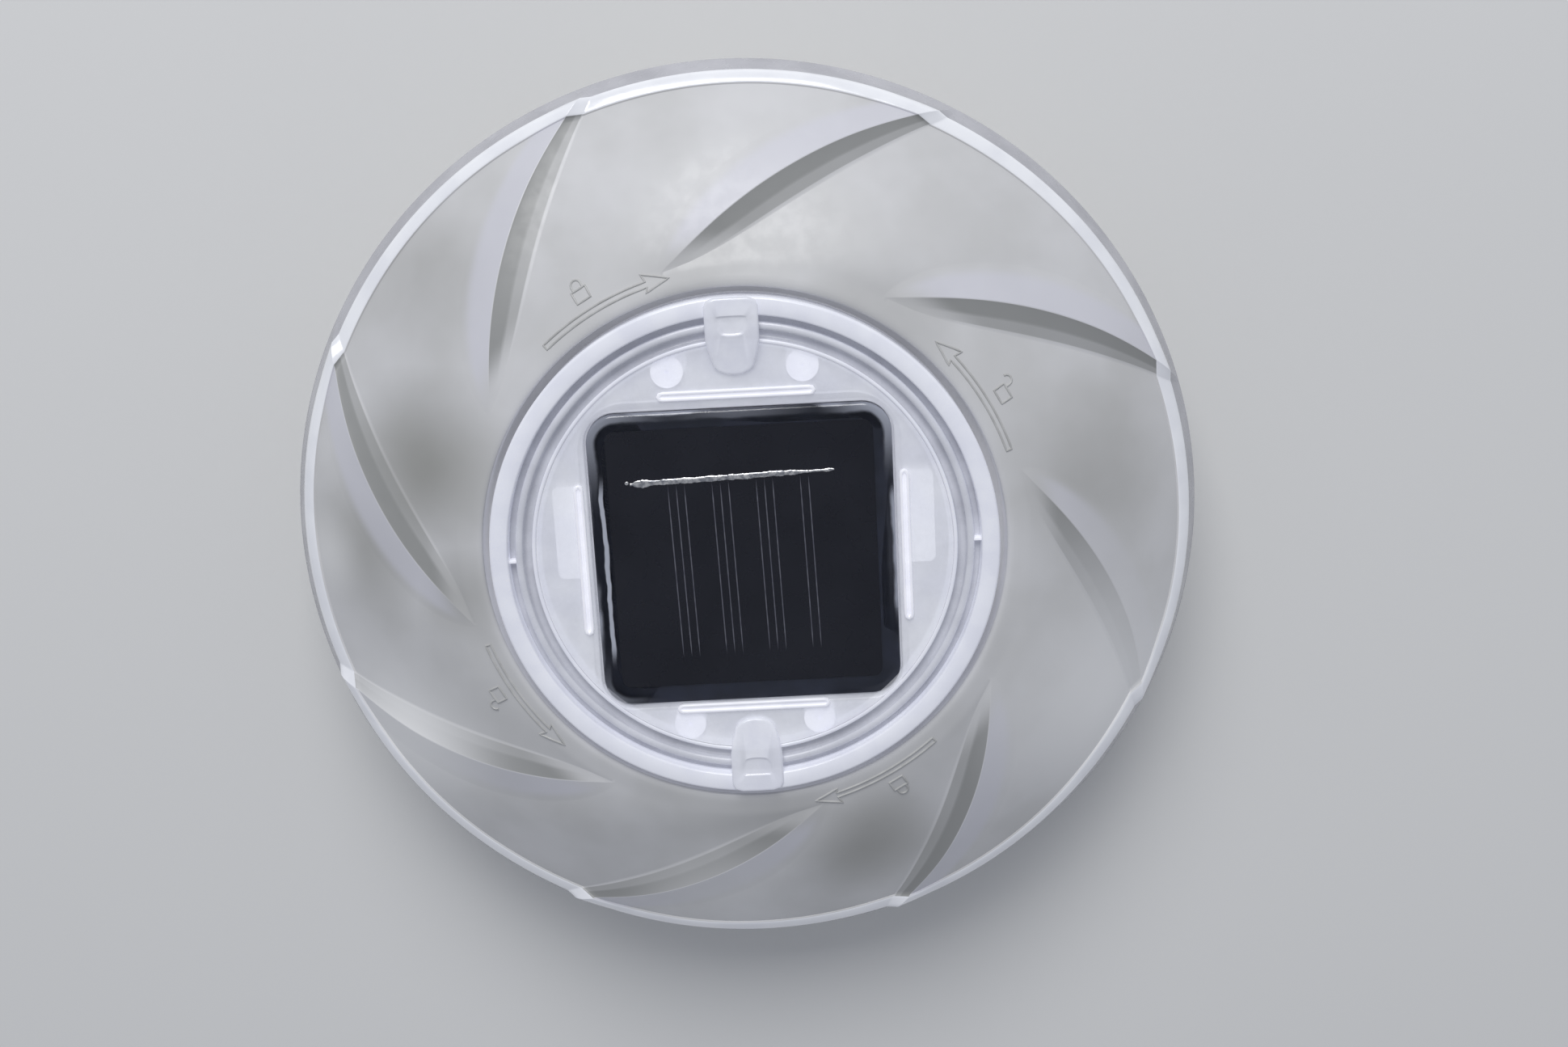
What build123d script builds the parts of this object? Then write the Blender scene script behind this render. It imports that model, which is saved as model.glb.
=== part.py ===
from build123d import *
import os
from math import cos, radians, sin

# Solar floating pool light: a low fluted dome that floats, with a twist-lock solar lamp unit in its well.
# Millimetres, +Z up. Heights are measured from a level RAISE above the foot; the nodes are written
# with the origin at the centre of the foot, on the surface that the float stands on.

# ------------------------------------------------------------------ driving dimensions
RAISE = 32.0  # level that heights are measured from, above the foot

RIM_RADIUS = 104.0  # outer edge of the float
RIM_SEAM = 2.0  # height of the seam between dome and hull
WALL = 2.0  # moulded wall of dome, hull and housing
FLUTES = 8  # swirling flutes round the dome
FLUTE_HEIGHT = 1.0
FLUTE_PHASE = 13.8  # angle of the first flute's tip

FOOT_OUTER = 58.0
FOOT_INNER = 45.0
FOOT_RECESS = 1.2

LIP_RADIUS = 57.2  # mouth of the lamp well
LIP_TOP = 31.7
SEAT_TOP = 24.0  # ledge that carries the lamp unit's flange
BORE_RADIUS = 51.5  # well below the ledge, where the sealing ring runs
WELL_FLOOR = 8.0

RING_RADIUS = 55.5  # lamp unit across its raised ring
RING_TOP = 34.0
DISC_TOP = 32.0
DISC_RADIUS = 46.0
PLUG_RADIUS = 50.6  # upper plug of the housing, with the ring groove
LOWER_RADIUS = 48.6  # lower plug, with the bayonet tabs
HOUSING_BOTTOM = 9.5
HOUSING_TOP = 26.5
CAVITY_RADIUS = 46.6
GROOVE_Z = 21.0  # height of the sealing ring

PANEL = 66.0  # side of the solar panel
PANEL_CORNER = 6.5
PANEL_SHIFT = -1.8  # panel centre along Y
POCKET_FLOOR = 28.6

BOSS_X, BOSS_Y = 14.5, 39.8  # lid screw bosses
BATTERY_Y = 4.0
BATTERY_RADIUS = 7.1
BATTERY_LENGTH = 50.5
BATTERY_Z = 18.4
TOWER_X = 38.5  # battery cover screw towers
BOARD_Y = -20.0
BOARD_BOTTOM = 17.0
BOARD_TOP = BOARD_BOTTOM + 1.6
SWITCH_Y = -14.0
SWITCH_TRAVEL = 3.0

TABS = 4  # bayonet tabs
TAB_HALF = 10.0  # half width of a tab, degrees
TAB_PHASE = 45.0
LUG_TURN = -30.0  # turn from unlocked to locked
LUG_HALF = 14.0

os.makedirs("parts", exist_ok=True)


# ------------------------------------------------------------------ shared shapes
def polar(radius, angle):
    """Point at a radius and an angle in degrees."""
    return (radius * cos(radians(angle)), radius * sin(radians(angle)))


def sector(inner, outer, start, stop):
    """Flat ring sector between two radii and two angles."""
    with BuildSketch() as shape:
        with BuildLine():
            far = CenterArc((0, 0), outer, start, stop - start)
            near = CenterArc((0, 0), inner, start, stop - start)
            Line(far @ 0, near @ 0)
            Line(far @ 1, near @ 1)
        make_face()
    return shape.sketch


def wire_run(points, radii, wire_radius):
    """Insulated wire along straight runs joined by tangent arcs."""
    with BuildPart() as wire:
        with BuildLine() as route:
            FilletPolyline(*points, radius=radii)
        with BuildSketch(Plane(origin=route.line @ 0, z_dir=route.line % 0)):
            Circle(wire_radius)
        sweep()
    return wire.part


def inset_arc(corners, depth):
    """Start, middle and end of an arc, moved towards its centre by a depth."""
    centre = ThreePointArc(*corners).arc_center
    moved = []
    for corner in corners:
        inward = (centre - Vector(*corner)).normalized()
        moved.append(Vector(*corner) + inward * depth)
    return [(point.X, point.Y) for point in moved]


def save(body, name):
    """Write one node at its place above the foot."""
    placed = Pos(0, 0, RAISE) * body
    placed.label = name
    export_step(placed, f"parts/{name}.step")


# ------------------------------------------------------------------ float dome
DOME = ((58.8, LIP_TOP), (79.7, 23.5), (98.6, 11.4))  # crown of the dome, from lip to rim
DOME_UNDER = inset_arc(DOME, WALL)
DOME_SUNK = inset_arc(DOME, WALL / 2)
FLUTE_CROWN = inset_arc(DOME, -FLUTE_HEIGHT)


def flute_outline():
    """Crescent of one flute in plan, from its tip beside the well out to the rim."""
    tip = polar(62.4, 0)
    with BuildSketch() as outline:
        with BuildLine():
            slope_side = ThreePointArc(tip, polar(80.5, -12.1), polar(98.2, -31.8))
            step_side = ThreePointArc(tip, polar(80.5, -28.9), polar(98.2, -40.6))
            Line(slope_side @ 1, step_side @ 1)
        make_face()
    return outline.sketch


with BuildPart() as flute_ridges:
    with BuildSketch(Plane.XZ):
        with BuildLine():
            ThreePointArc(*FLUTE_CROWN)
            ThreePointArc(*DOME_SUNK)
            Line(FLUTE_CROWN[0], DOME_SUNK[0])
            Line(FLUTE_CROWN[-1], DOME_SUNK[-1])
        make_face()
    revolve(axis=Axis.Z)
    with BuildSketch():
        with PolarLocations(0, FLUTES, start_angle=FLUTE_PHASE):
            add(flute_outline())
    extrude(amount=LIP_TOP + 2 * FLUTE_HEIGHT, mode=Mode.INTERSECT)

with BuildPart() as float_dome:
    with BuildSketch(Plane.XZ):
        with BuildLine():
            ThreePointArc(*DOME)
            ThreePointArc(*DOME_UNDER)
            Polyline(
                DOME[-1],
                (101.6, 10.6),
                (RIM_RADIUS, 6.0),
                (RIM_RADIUS, RIM_SEAM),
                (RIM_RADIUS - WALL, RIM_SEAM),
                (RIM_RADIUS - WALL, 5.6),
                (100.4, 8.6),
                DOME_UNDER[-1],
            )
            Polyline(
                DOME_UNDER[0],
                (LIP_RADIUS + WALL, SEAT_TOP - WALL),
                (BORE_RADIUS + WALL, SEAT_TOP - WALL),
                (BORE_RADIUS + WALL, WELL_FLOOR - WALL),
                (0, WELL_FLOOR - WALL),
                (0, WELL_FLOOR),
                (BORE_RADIUS, WELL_FLOOR),
                (BORE_RADIUS, SEAT_TOP),
                (LIP_RADIUS, SEAT_TOP),
                (LIP_RADIUS, LIP_TOP),
                DOME[0],
            )
        make_face()
    revolve(axis=Axis.Z)
    add(flute_ridges.part)
    # bayonet lugs on the well wall, each with a stop at its far end
    lug_centre = TAB_PHASE + LUG_TURN
    with BuildSketch(Plane.XY.offset(14.5)):
        with PolarLocations(0, TABS):
            add(sector(49.0, BORE_RADIUS + 0.5, lug_centre - LUG_HALF, lug_centre + LUG_HALF))
    extrude(amount=2.5)
    with BuildSketch(Plane.XY.offset(10.5)):
        with PolarLocations(0, TABS):
            add(sector(49.0, BORE_RADIUS + 0.5, lug_centre - LUG_HALF, lug_centre - LUG_HALF + 3.4))
    extrude(amount=5)
save(float_dome.part, "float_dome")

# ------------------------------------------------------------------ float hull
BELLY = ((FOOT_OUTER, -RAISE), (84.9, -22.3), (RIM_RADIUS, -1.0))  # hull side, from foot to rim
BELLY_INNER = inset_arc(BELLY, WALL)
HULL_FLOOR = FOOT_RECESS - RAISE

with BuildPart() as float_hull:
    with BuildSketch(Plane.XZ):
        with BuildLine():
            ThreePointArc(*BELLY)
            ThreePointArc(*BELLY_INNER)
            Polyline(
                BELLY[-1],
                (RIM_RADIUS, RIM_SEAM),
                (RIM_RADIUS - WALL, RIM_SEAM),
                BELLY_INNER[-1],
            )
            Polyline(
                BELLY_INNER[0],
                (FOOT_INNER, HULL_FLOOR + WALL),
                (0, HULL_FLOOR + WALL),
                (0, HULL_FLOOR),
                (FOOT_INNER - FOOT_RECESS, HULL_FLOOR),
                (FOOT_INNER, -RAISE),
                BELLY[0],
            )
        make_face()
    revolve(axis=Axis.Z)
save(float_hull.part, "float_hull")

# ------------------------------------------------------------------ sealing ring
SEAL_SECTION = 1.2
with BuildPart() as sealing_ring:
    with BuildSketch(Plane.XZ):
        with Locations((50.22, GROOVE_Z)):
            Circle(SEAL_SECTION)
    revolve(axis=Axis.Z)
save(sealing_ring.part, "sealing_ring")

# ------------------------------------------------------------------ lid
RIDGE = (48.4, 50.0)  # thin ridge between the two ring grooves
BAND_INNER = 51.5
GROOVE_FLOOR = 30.4
RIDGE_TOP = 32.6
LID_UNDER = 27.8
SKIRT_INNER = 52.0
SKIRT_BOTTOM = 26.6
BOSS_BOTTOM = 16.0
GRIP_TOP = RING_TOP + 0.9


def grip_outline():
    """Grip tongue in plan, pointing inwards from the +Y side of the ring."""
    with BuildSketch() as tongue:
        with BuildLine():
            tip = ThreePointArc((4.0, 41.4), (0, 38.6), (-4.0, 41.4))
            Polyline(tip @ 1, (-5.75, 46.5), (-5.75, 55.0), (5.75, 55.0), (5.75, 46.5), tip @ 0)
        make_face()
    return tongue.sketch


with BuildPart() as lid:
    with BuildSketch(Plane.XZ):
        with BuildLine():
            Polyline(
                (0, DISC_TOP),
                (DISC_RADIUS - 0.5, DISC_TOP),
                (DISC_RADIUS - 0.5, DISC_TOP + 0.4),
                (DISC_RADIUS + 0.4, DISC_TOP + 0.4),
                (DISC_RADIUS + 0.4, GROOVE_FLOOR),
                (RIDGE[0], GROOVE_FLOOR),
                (RIDGE[0], RIDGE_TOP),
                (RIDGE[1], RIDGE_TOP),
                (RIDGE[1], GROOVE_FLOOR),
                (BAND_INNER, GROOVE_FLOOR),
                (BAND_INNER, RING_TOP),
                (RING_RADIUS - 0.4, RING_TOP),
                (RING_RADIUS, RING_TOP - 0.4),
                (RING_RADIUS, SKIRT_BOTTOM),
                (SKIRT_INNER, SKIRT_BOTTOM),
                (SKIRT_INNER, LID_UNDER),
                (CAVITY_RADIUS, LID_UNDER),
                (CAVITY_RADIUS - 2, DISC_TOP - 2.2),
                (0, DISC_TOP - 2.2),
                close=True,
            )
        make_face()
    revolve(axis=Axis.Z)
    # step lines round the outer wall
    with BuildSketch(Plane.XZ):
        with Locations((RING_RADIUS, 31.4), (RING_RADIUS, 29.2)):
            Rectangle(0.6, 0.4)
    revolve(axis=Axis.Z, mode=Mode.SUBTRACT)
    # walls of the panel pocket, below the disc
    with BuildSketch(Plane.XY.offset(POCKET_FLOOR - 1.6)):
        with Locations((0, PANEL_SHIFT)):
            RectangleRounded(PANEL + 4, PANEL + 4, PANEL_CORNER + 4)
    extrude(until=Until.NEXT)
    with BuildSketch(Plane.XY.offset(POCKET_FLOOR)):
        with Locations((0, PANEL_SHIFT)):
            RectangleRounded(PANEL + 0.8, PANEL + 0.8, PANEL_CORNER + 0.4)
    extrude(amount=6, mode=Mode.SUBTRACT)
    # locating ribs round the pocket
    with BuildSketch(Plane.XY.offset(DISC_TOP)):
        with Locations((0, PANEL_SHIFT)):
            with PolarLocations(PANEL / 2 + 2.2, 4):
                SlotOverall(34.0, 2.1, rotation=90)
    extrude(amount=0.7)
    # ties across the outer groove
    with BuildSketch(Plane.XY.offset(GROOVE_FLOOR)):
        with Locations((RIDGE[1] + 0.75, 0), (-RIDGE[1] - 0.75, 0)):
            Rectangle(1.7, 0.7)
    extrude(amount=RIDGE_TOP - GROOVE_FLOOR)
    # grip tongues at +Y and -Y
    with BuildSketch(Plane.XY.offset(GROOVE_FLOOR - 0.4)):
        with PolarLocations(0, 2):
            add(grip_outline())
    extrude(amount=GRIP_TOP - GROOVE_FLOOR + 0.4)
    for side in (1, -1):
        with BuildSketch(Plane.YZ.offset(-8)):
            with BuildLine():
                Polyline(
                    (side * 37.5, DISC_TOP + 0.9),
                    (side * 45.5, GRIP_TOP),
                    (side * 45.5, GRIP_TOP + 3),
                    (side * 37.5, GRIP_TOP + 3),
                    close=True,
                )
            make_face()
        extrude(amount=16, mode=Mode.SUBTRACT)
    # finger recess in each tongue
    with BuildSketch(Plane.XY.offset(GRIP_TOP - 0.5)):
        with PolarLocations(50.0, 2, start_angle=90):
            SlotOverall(7.0, 4.2)
    extrude(amount=2, mode=Mode.SUBTRACT)
    # screw bosses under the disc
    with BuildSketch(Plane.XY.offset(BOSS_BOTTOM)):
        with GridLocations(2 * BOSS_X, 2 * BOSS_Y, 2, 2):
            Circle(3.5)
    extrude(amount=DISC_TOP - 1 - BOSS_BOTTOM)
    with BuildSketch(Plane.XY.offset(BOSS_BOTTOM)):
        with GridLocations(2 * BOSS_X, 2 * BOSS_Y, 2, 2):
            Circle(1.45)
    extrude(amount=9.5, mode=Mode.SUBTRACT)
    # holes for the solar leads
    with BuildSketch(Plane.XY.offset(POCKET_FLOOR)):
        with Locations((-3, -12), (3, -12)):
            Circle(1.1)
    extrude(amount=-3, mode=Mode.SUBTRACT)
save(lid.part, "lid")

# ------------------------------------------------------------------ lamp housing
COVER_LENGTH = 82.0
COVER_WIDTH = 21.0
COVER_CORNER = 4.0
COVER_TOP = 10.9
SHELF = 11.3  # face that the battery cover closes against
BAY_LOW_X = -31.5
BAY_HIGH_X = 28.4
BAY_HALF = 7.5
BAY_TOP = 24.5

with BuildPart() as lamp_housing:
    with BuildSketch(Plane.XZ):
        with BuildLine():
            Polyline(
                (0, HOUSING_BOTTOM),
                (LOWER_RADIUS - 1, HOUSING_BOTTOM),
                (LOWER_RADIUS, HOUSING_BOTTOM + 1),
                (LOWER_RADIUS, 17.5),
                (PLUG_RADIUS, 17.5),
                (PLUG_RADIUS, GROOVE_Z - 1.4),
                (48.95, GROOVE_Z - 1.4),
                (48.95, GROOVE_Z + 1.4),
                (PLUG_RADIUS, GROOVE_Z + 1.4),
                (PLUG_RADIUS, SEAT_TOP + 0.2),
                (RING_RADIUS, SEAT_TOP + 0.2),
                (RING_RADIUS, HOUSING_TOP),
                (CAVITY_RADIUS, HOUSING_TOP),
                (CAVITY_RADIUS, HOUSING_BOTTOM + WALL),
                (0, HOUSING_BOTTOM + WALL),
                close=True,
            )
        make_face()
    revolve(axis=Axis.Z)
    # bayonet tabs
    with BuildSketch(Plane.XY.offset(11.2)):
        with PolarLocations(0, TABS):
            add(sector(LOWER_RADIUS - 0.5, 51.0, TAB_PHASE - TAB_HALF, TAB_PHASE + TAB_HALF))
    extrude(amount=3.0)
    # frame round the battery cover and its two screw towers
    with BuildSketch(Plane.XY.offset(HOUSING_BOTTOM)):
        with Locations((0, BATTERY_Y)):
            RectangleRounded(COVER_LENGTH + 4, COVER_WIDTH + 4, COVER_CORNER + 2)
    extrude(amount=3.5)
    with BuildSketch(Plane.XY.offset(SHELF)):
        with Locations((TOWER_X, BATTERY_Y), (-TOWER_X, BATTERY_Y)):
            RectangleRounded(7, COVER_WIDTH, 1.5)
    extrude(amount=25 - SHELF)
    # battery bay walls
    bay_middle = (BAY_LOW_X + BAY_HIGH_X) / 2
    bay_length = BAY_HIGH_X - BAY_LOW_X
    with BuildSketch(Plane.XY.offset(SHELF)):
        with Locations((bay_middle, BATTERY_Y)):
            Rectangle(bay_length + 3, 2 * BAY_HALF + 3)
    extrude(amount=BAY_TOP - SHELF)
    with BuildSketch(Plane.XY.offset(HOUSING_BOTTOM)):
        with Locations((bay_middle, BATTERY_Y)):
            Rectangle(bay_length, 2 * BAY_HALF)
    extrude(amount=HOUSING_TOP, mode=Mode.SUBTRACT)
    # bridges over the battery
    with BuildSketch(Plane.XY.offset(21.0)):
        with Locations((-12, BATTERY_Y), (16, BATTERY_Y)):
            Rectangle(3, 2 * BAY_HALF + 3)
    extrude(amount=5.8)
    with BuildSketch(Plane.YZ.offset(-20)):
        with Locations((BATTERY_Y, BATTERY_Z)):
            Circle(BATTERY_RADIUS + 0.1)
    extrude(amount=40, mode=Mode.SUBTRACT)
    # recess for the cover
    with BuildSketch(Plane.XY.offset(HOUSING_BOTTOM)):
        with Locations((0, BATTERY_Y)):
            RectangleRounded(COVER_LENGTH + 0.4, COVER_WIDTH + 0.4, COVER_CORNER + 0.2)
    extrude(amount=SHELF - HOUSING_BOTTOM, mode=Mode.SUBTRACT)
    with BuildSketch(Plane.XY.offset(SHELF)):
        with Locations((TOWER_X, BATTERY_Y), (-TOWER_X, BATTERY_Y)):
            Circle(1.15)
    extrude(amount=10, mode=Mode.SUBTRACT)
    # lid screw posts with counterbores from below
    with BuildSketch(Plane.XY.offset(HOUSING_BOTTOM)):
        with GridLocations(2 * BOSS_X, 2 * BOSS_Y, 2, 2):
            Circle(4.0)
    extrude(amount=BOSS_BOTTOM - HOUSING_BOTTOM)
    with Locations(Plane.XY.offset(HOUSING_BOTTOM)):
        with GridLocations(2 * BOSS_X, 2 * BOSS_Y, 2, 2):
            Cylinder(3.1, 3.5, align=(Align.CENTER, Align.CENTER, Align.MIN), mode=Mode.SUBTRACT)
            Cylinder(1.6, 10, align=(Align.CENTER, Align.CENTER, Align.MIN), mode=Mode.SUBTRACT)
    # circuit board posts
    with BuildSketch(Plane.XY.offset(HOUSING_BOTTOM + WALL)):
        with Locations((22, -13), (-22, -13)):
            Circle(2.5)
    extrude(amount=BOARD_BOTTOM - HOUSING_BOTTOM - WALL)
    with BuildSketch(Plane.XY.offset(BOARD_BOTTOM)):
        with Locations((22, -13), (-22, -13)):
            Circle(1.05)
    extrude(amount=-5, mode=Mode.SUBTRACT)
    # slot for the switch knob
    with BuildSketch(Plane.XY.offset(HOUSING_BOTTOM)):
        with Locations((0, SWITCH_Y)):
            RectangleRounded(9.0, 4.4, 1.0)
    extrude(amount=WALL, mode=Mode.SUBTRACT)
save(lamp_housing.part, "lamp_housing")

# ------------------------------------------------------------------ lid gasket and lid screws
with BuildPart() as lid_gasket:
    with BuildSketch(Plane.XY.offset(HOUSING_TOP)):
        Circle(51.8)
        Circle(47.2, mode=Mode.SUBTRACT)
    extrude(amount=LID_UNDER - HOUSING_TOP)
save(lid_gasket.part, "lid_gasket")


def pan_screw(head_radius, head_height, shank_radius, length):
    """Pan head screw with a cross recess, head down, its bearing face at Z zero."""
    with BuildPart() as screw:
        with BuildSketch():
            Circle(head_radius)
        extrude(amount=-head_height)
        fillet(screw.edges().group_by(Axis.Z)[0], head_height * 0.35)
        with BuildSketch():
            Circle(shank_radius)
        extrude(amount=length)
        chamfer(screw.edges().group_by(Axis.Z)[-1], shank_radius * 0.5)
        with BuildSketch(Plane.XY.offset(-head_height)):
            Rectangle(head_radius * 1.1, head_radius * 0.28)
            Rectangle(head_radius * 0.28, head_radius * 1.1)
        extrude(amount=head_height * 0.6, mode=Mode.SUBTRACT)
    return screw.part


lid_screw = pan_screw(2.8, 2.0, 1.4, 11.5)
with BuildPart() as lid_screws:
    with Locations(Plane.XY.offset(HOUSING_BOTTOM + 3.5)):
        with GridLocations(2 * BOSS_X, 2 * BOSS_Y, 2, 2):
            add(lid_screw)
save(lid_screws.part, "lid_screws")

# ------------------------------------------------------------------ solar panel
PAD_TOP = POCKET_FLOOR + 0.5
BOARD_FACE = PAD_TOP + 1.0
CELL_SIDE = 58.0
CELL_FACE = BOARD_FACE + 0.3
RIBBON_Y = 17.9 + PANEL_SHIFT
RIBBON_LENGTH = 44.4
RIBBON_X = -1.5
FINGER_GROUPS = (-13.8, -4.2, 5.4, 15.0)
FINGER_PITCH = 1.8
FINGER_LENGTH = 40.0
RESIN_TOP = 31.6

with BuildPart() as panel_pad:
    with BuildSketch(Plane.XY.offset(POCKET_FLOOR)):
        with Locations((0, PANEL_SHIFT)):
            RectangleRounded(PANEL - 6, PANEL - 6, PANEL_CORNER)
        with Locations((-3, -12), (3, -12)):
            Circle(1.6, mode=Mode.SUBTRACT)
    extrude(amount=PAD_TOP - POCKET_FLOOR)
save(panel_pad.part, "panel_pad")

with BuildPart() as solar_board:
    with BuildSketch(Plane.XY.offset(PAD_TOP)):
        with Locations((0, PANEL_SHIFT)):
            RectangleRounded(PANEL, PANEL, PANEL_CORNER)
    extrude(amount=BOARD_FACE - PAD_TOP)
save(solar_board.part, "solar_board")

with BuildPart() as solar_cell:
    with BuildSketch(Plane.XY.offset(BOARD_FACE)):
        with Locations((0, PANEL_SHIFT)):
            RectangleRounded(CELL_SIDE, CELL_SIDE, 2.0)
    extrude(amount=CELL_FACE - BOARD_FACE)
save(solar_cell.part, "solar_cell")

with BuildPart() as cell_ribbon:
    with BuildSketch(Plane.XY.offset(CELL_FACE)):
        with Locations((RIBBON_X, RIBBON_Y)):
            Rectangle(RIBBON_LENGTH, 1.1)
    extrude(amount=0.2)
save(cell_ribbon.part, "cell_ribbon")

finger_y = RIBBON_Y - 0.55 - FINGER_LENGTH / 2
with BuildPart() as cell_fingers:
    with BuildSketch(Plane.XY.offset(CELL_FACE)):
        for group_x in FINGER_GROUPS:
            in_group = 2 if group_x == FINGER_GROUPS[-1] else 3
            for line in range(in_group):
                with Locations((group_x + (line - 1) * FINGER_PITCH, finger_y)):
                    Rectangle(0.35, FINGER_LENGTH)
    extrude(amount=0.1)
save(cell_fingers.part, "cell_fingers")

with BuildPart() as panel_resin:
    with BuildSketch(Plane.XY.offset(BOARD_FACE)):
        with Locations((0, PANEL_SHIFT)):
            RectangleRounded(PANEL, PANEL, PANEL_CORNER)
    extrude(amount=RESIN_TOP - BOARD_FACE)
    fillet(panel_resin.edges().group_by(Axis.Z)[-1], 0.9)
    add(solar_cell.part, mode=Mode.SUBTRACT)
    add(cell_ribbon.part, mode=Mode.SUBTRACT)
    add(cell_fingers.part, mode=Mode.SUBTRACT)
save(panel_resin.part, "panel_resin")

# ------------------------------------------------------------------ circuit board and its parts
with BuildPart() as circuit_board:
    with BuildSketch(Plane.XY.offset(BOARD_BOTTOM)):
        with Locations((0, BOARD_Y)):
            RectangleRounded(52, 22, 1.5)
        with Locations((22, -13), (-22, -13)):
            Circle(1.2, mode=Mode.SUBTRACT)
    extrude(amount=BOARD_TOP - BOARD_BOTTOM)
save(circuit_board.part, "circuit_board")

board_screw = pan_screw(2.0, 1.4, 1.0, 6.0)
with BuildPart() as board_screws:
    for screw_x in (22, -22):
        with Locations(Location((screw_x, -13, BOARD_TOP), (180, 0, 0))):
            add(board_screw)
save(board_screws.part, "board_screws")

LED_SPOTS = ((-20, -24), (-7, -24), (7, -24), (20, -24))
with BuildPart() as leds:
    with BuildSketch(Plane.XY.offset(BOARD_BOTTOM)):
        with Locations(*LED_SPOTS):
            Circle(2.9)
    extrude(amount=-1)
    with BuildSketch(Plane.XY.offset(BOARD_BOTTOM)):
        with Locations(*LED_SPOTS):
            Circle(2.5)
    extrude(amount=-2.6)
    for spot in LED_SPOTS:
        with Locations((spot[0], spot[1], BOARD_BOTTOM - 2.6)):
            Sphere(2.5)
save(leds.part, "leds")

with BuildPart() as control_chip:
    with BuildSketch(Plane.XY.offset(BOARD_TOP)):
        with Locations((9, -24)):
            Rectangle(5.0, 4.0)
        with Locations((9, -24)):
            with GridLocations(1.27, 5.0, 4, 2):
                Rectangle(0.5, 1.2)
    extrude(amount=0.4)
    with BuildSketch(Plane.XY.offset(BOARD_TOP + 0.4)):
        with Locations((9, -24)):
            Rectangle(5.0, 4.0)
    extrude(amount=1.2)
save(control_chip.part, "control_chip")

with BuildPart() as inductor:
    with BuildSketch(Plane.XZ):
        with BuildLine():
            Polyline(
                (0, BOARD_TOP),
                (3.0, BOARD_TOP),
                (3.0, BOARD_TOP + 0.8),
                (2.0, BOARD_TOP + 0.8),
                (2.0, BOARD_TOP + 3.2),
                (3.0, BOARD_TOP + 3.2),
                (3.0, BOARD_TOP + 4.0),
                (0, BOARD_TOP + 4.0),
                close=True,
            )
        make_face()
    revolve(axis=Axis.Z)
inductor.part = Pos(-9, -24, 0) * inductor.part
save(inductor.part, "inductor")

with BuildPart() as capacitor:
    with BuildSketch(Plane.XY.offset(BOARD_TOP)):
        with Locations((0, -27)):
            Circle(2.5)
    extrude(amount=5.5)
    fillet(capacitor.edges().group_by(Axis.Z)[-1], 0.4)
save(capacitor.part, "capacitor")

# ------------------------------------------------------------------ switch
SWITCH_BOTTOM = 13.0
KNOB_REST_X = -SWITCH_TRAVEL / 2

with BuildPart() as switch_body:
    with BuildSketch(Plane.XY.offset(SWITCH_BOTTOM)):
        with Locations((0, SWITCH_Y)):
            Rectangle(9.0, 4.4)
    extrude(amount=BOARD_BOTTOM - SWITCH_BOTTOM)
    with BuildSketch(Plane.XY.offset(SWITCH_BOTTOM)):
        with Locations((0, SWITCH_Y)):
            Rectangle(2.6 + SWITCH_TRAVEL + 0.4, 2.6)
    extrude(amount=1.4, mode=Mode.SUBTRACT)
save(switch_body.part, "switch_body")

with BuildPart() as switch_knob:
    with BuildSketch(Plane.XY.offset(9.1)):
        with Locations((KNOB_REST_X, SWITCH_Y)):
            RectangleRounded(2.6, 2.2, 0.4)
    extrude(amount=SWITCH_BOTTOM + 1.2 - 9.1)
save(switch_knob.part, "switch_knob")

# ------------------------------------------------------------------ battery and its contacts
BATTERY_HIGH_X = BAY_HIGH_X - 0.5
BATTERY_LOW_X = BATTERY_HIGH_X - BATTERY_LENGTH

with BuildPart() as battery:
    with BuildSketch(Plane.XZ):
        with BuildLine():
            Polyline(
                (0, 0),
                (BATTERY_RADIUS, 0),
                (BATTERY_RADIUS, BATTERY_LENGTH - 1.2),
                (2.7, BATTERY_LENGTH - 1.2),
                (2.7, BATTERY_LENGTH),
                (0, BATTERY_LENGTH),
                close=True,
            )
        make_face()
    revolve(axis=Axis.Z)
    fillet(battery.edges().filter_by(GeomType.CIRCLE).filter_by(lambda e: e.radius > 7), 0.5)
battery.part = Pos(BATTERY_LOW_X, BATTERY_Y, BATTERY_Z) * Rot(0, 90, 0) * battery.part
save(battery.part, "battery")

TAB_TOP = 24.8  # solder tabs of the two contact plates
SPRING_LENGTH = BATTERY_LOW_X - BAY_LOW_X - 0.5
SPRING_WIRE = 0.4
with BuildPart() as contact_spring:
    with BuildLine() as coil:
        Helix(pitch=1.9, height=SPRING_LENGTH - 2 * SPRING_WIRE - 0.1, radius=3.6)
    with BuildSketch(Plane(origin=coil.line @ 0, z_dir=coil.line % 0)):
        Circle(SPRING_WIRE)
    sweep(is_frenet=True)
spring_x = BAY_LOW_X + 0.4 + SPRING_WIRE + 0.1
contact_spring.part = Pos(spring_x, BATTERY_Y, BATTERY_Z) * Rot(0, 90, 0) * contact_spring.part
save(contact_spring.part, "contact_spring")


def contact_plate(low_x):
    """Contact plate against an end wall of the battery bay, with a solder tab on top."""
    with BuildPart() as plate:
        with BuildSketch(Plane.YZ.offset(low_x)):
            with Locations((BATTERY_Y, BATTERY_Z)):
                RectangleRounded(11.0, 11.0, 1.5)
            with Locations((1.0, TAB_TOP)):
                Rectangle(2.4, 2.0, align=(Align.CENTER, Align.MAX))
        extrude(amount=0.4)
    return plate.part


spring_plate = contact_plate(BAY_LOW_X)
save(spring_plate, "spring_plate")

plate_contact = contact_plate(BAY_HIGH_X - 0.4)
save(plate_contact, "plate_contact")

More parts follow.
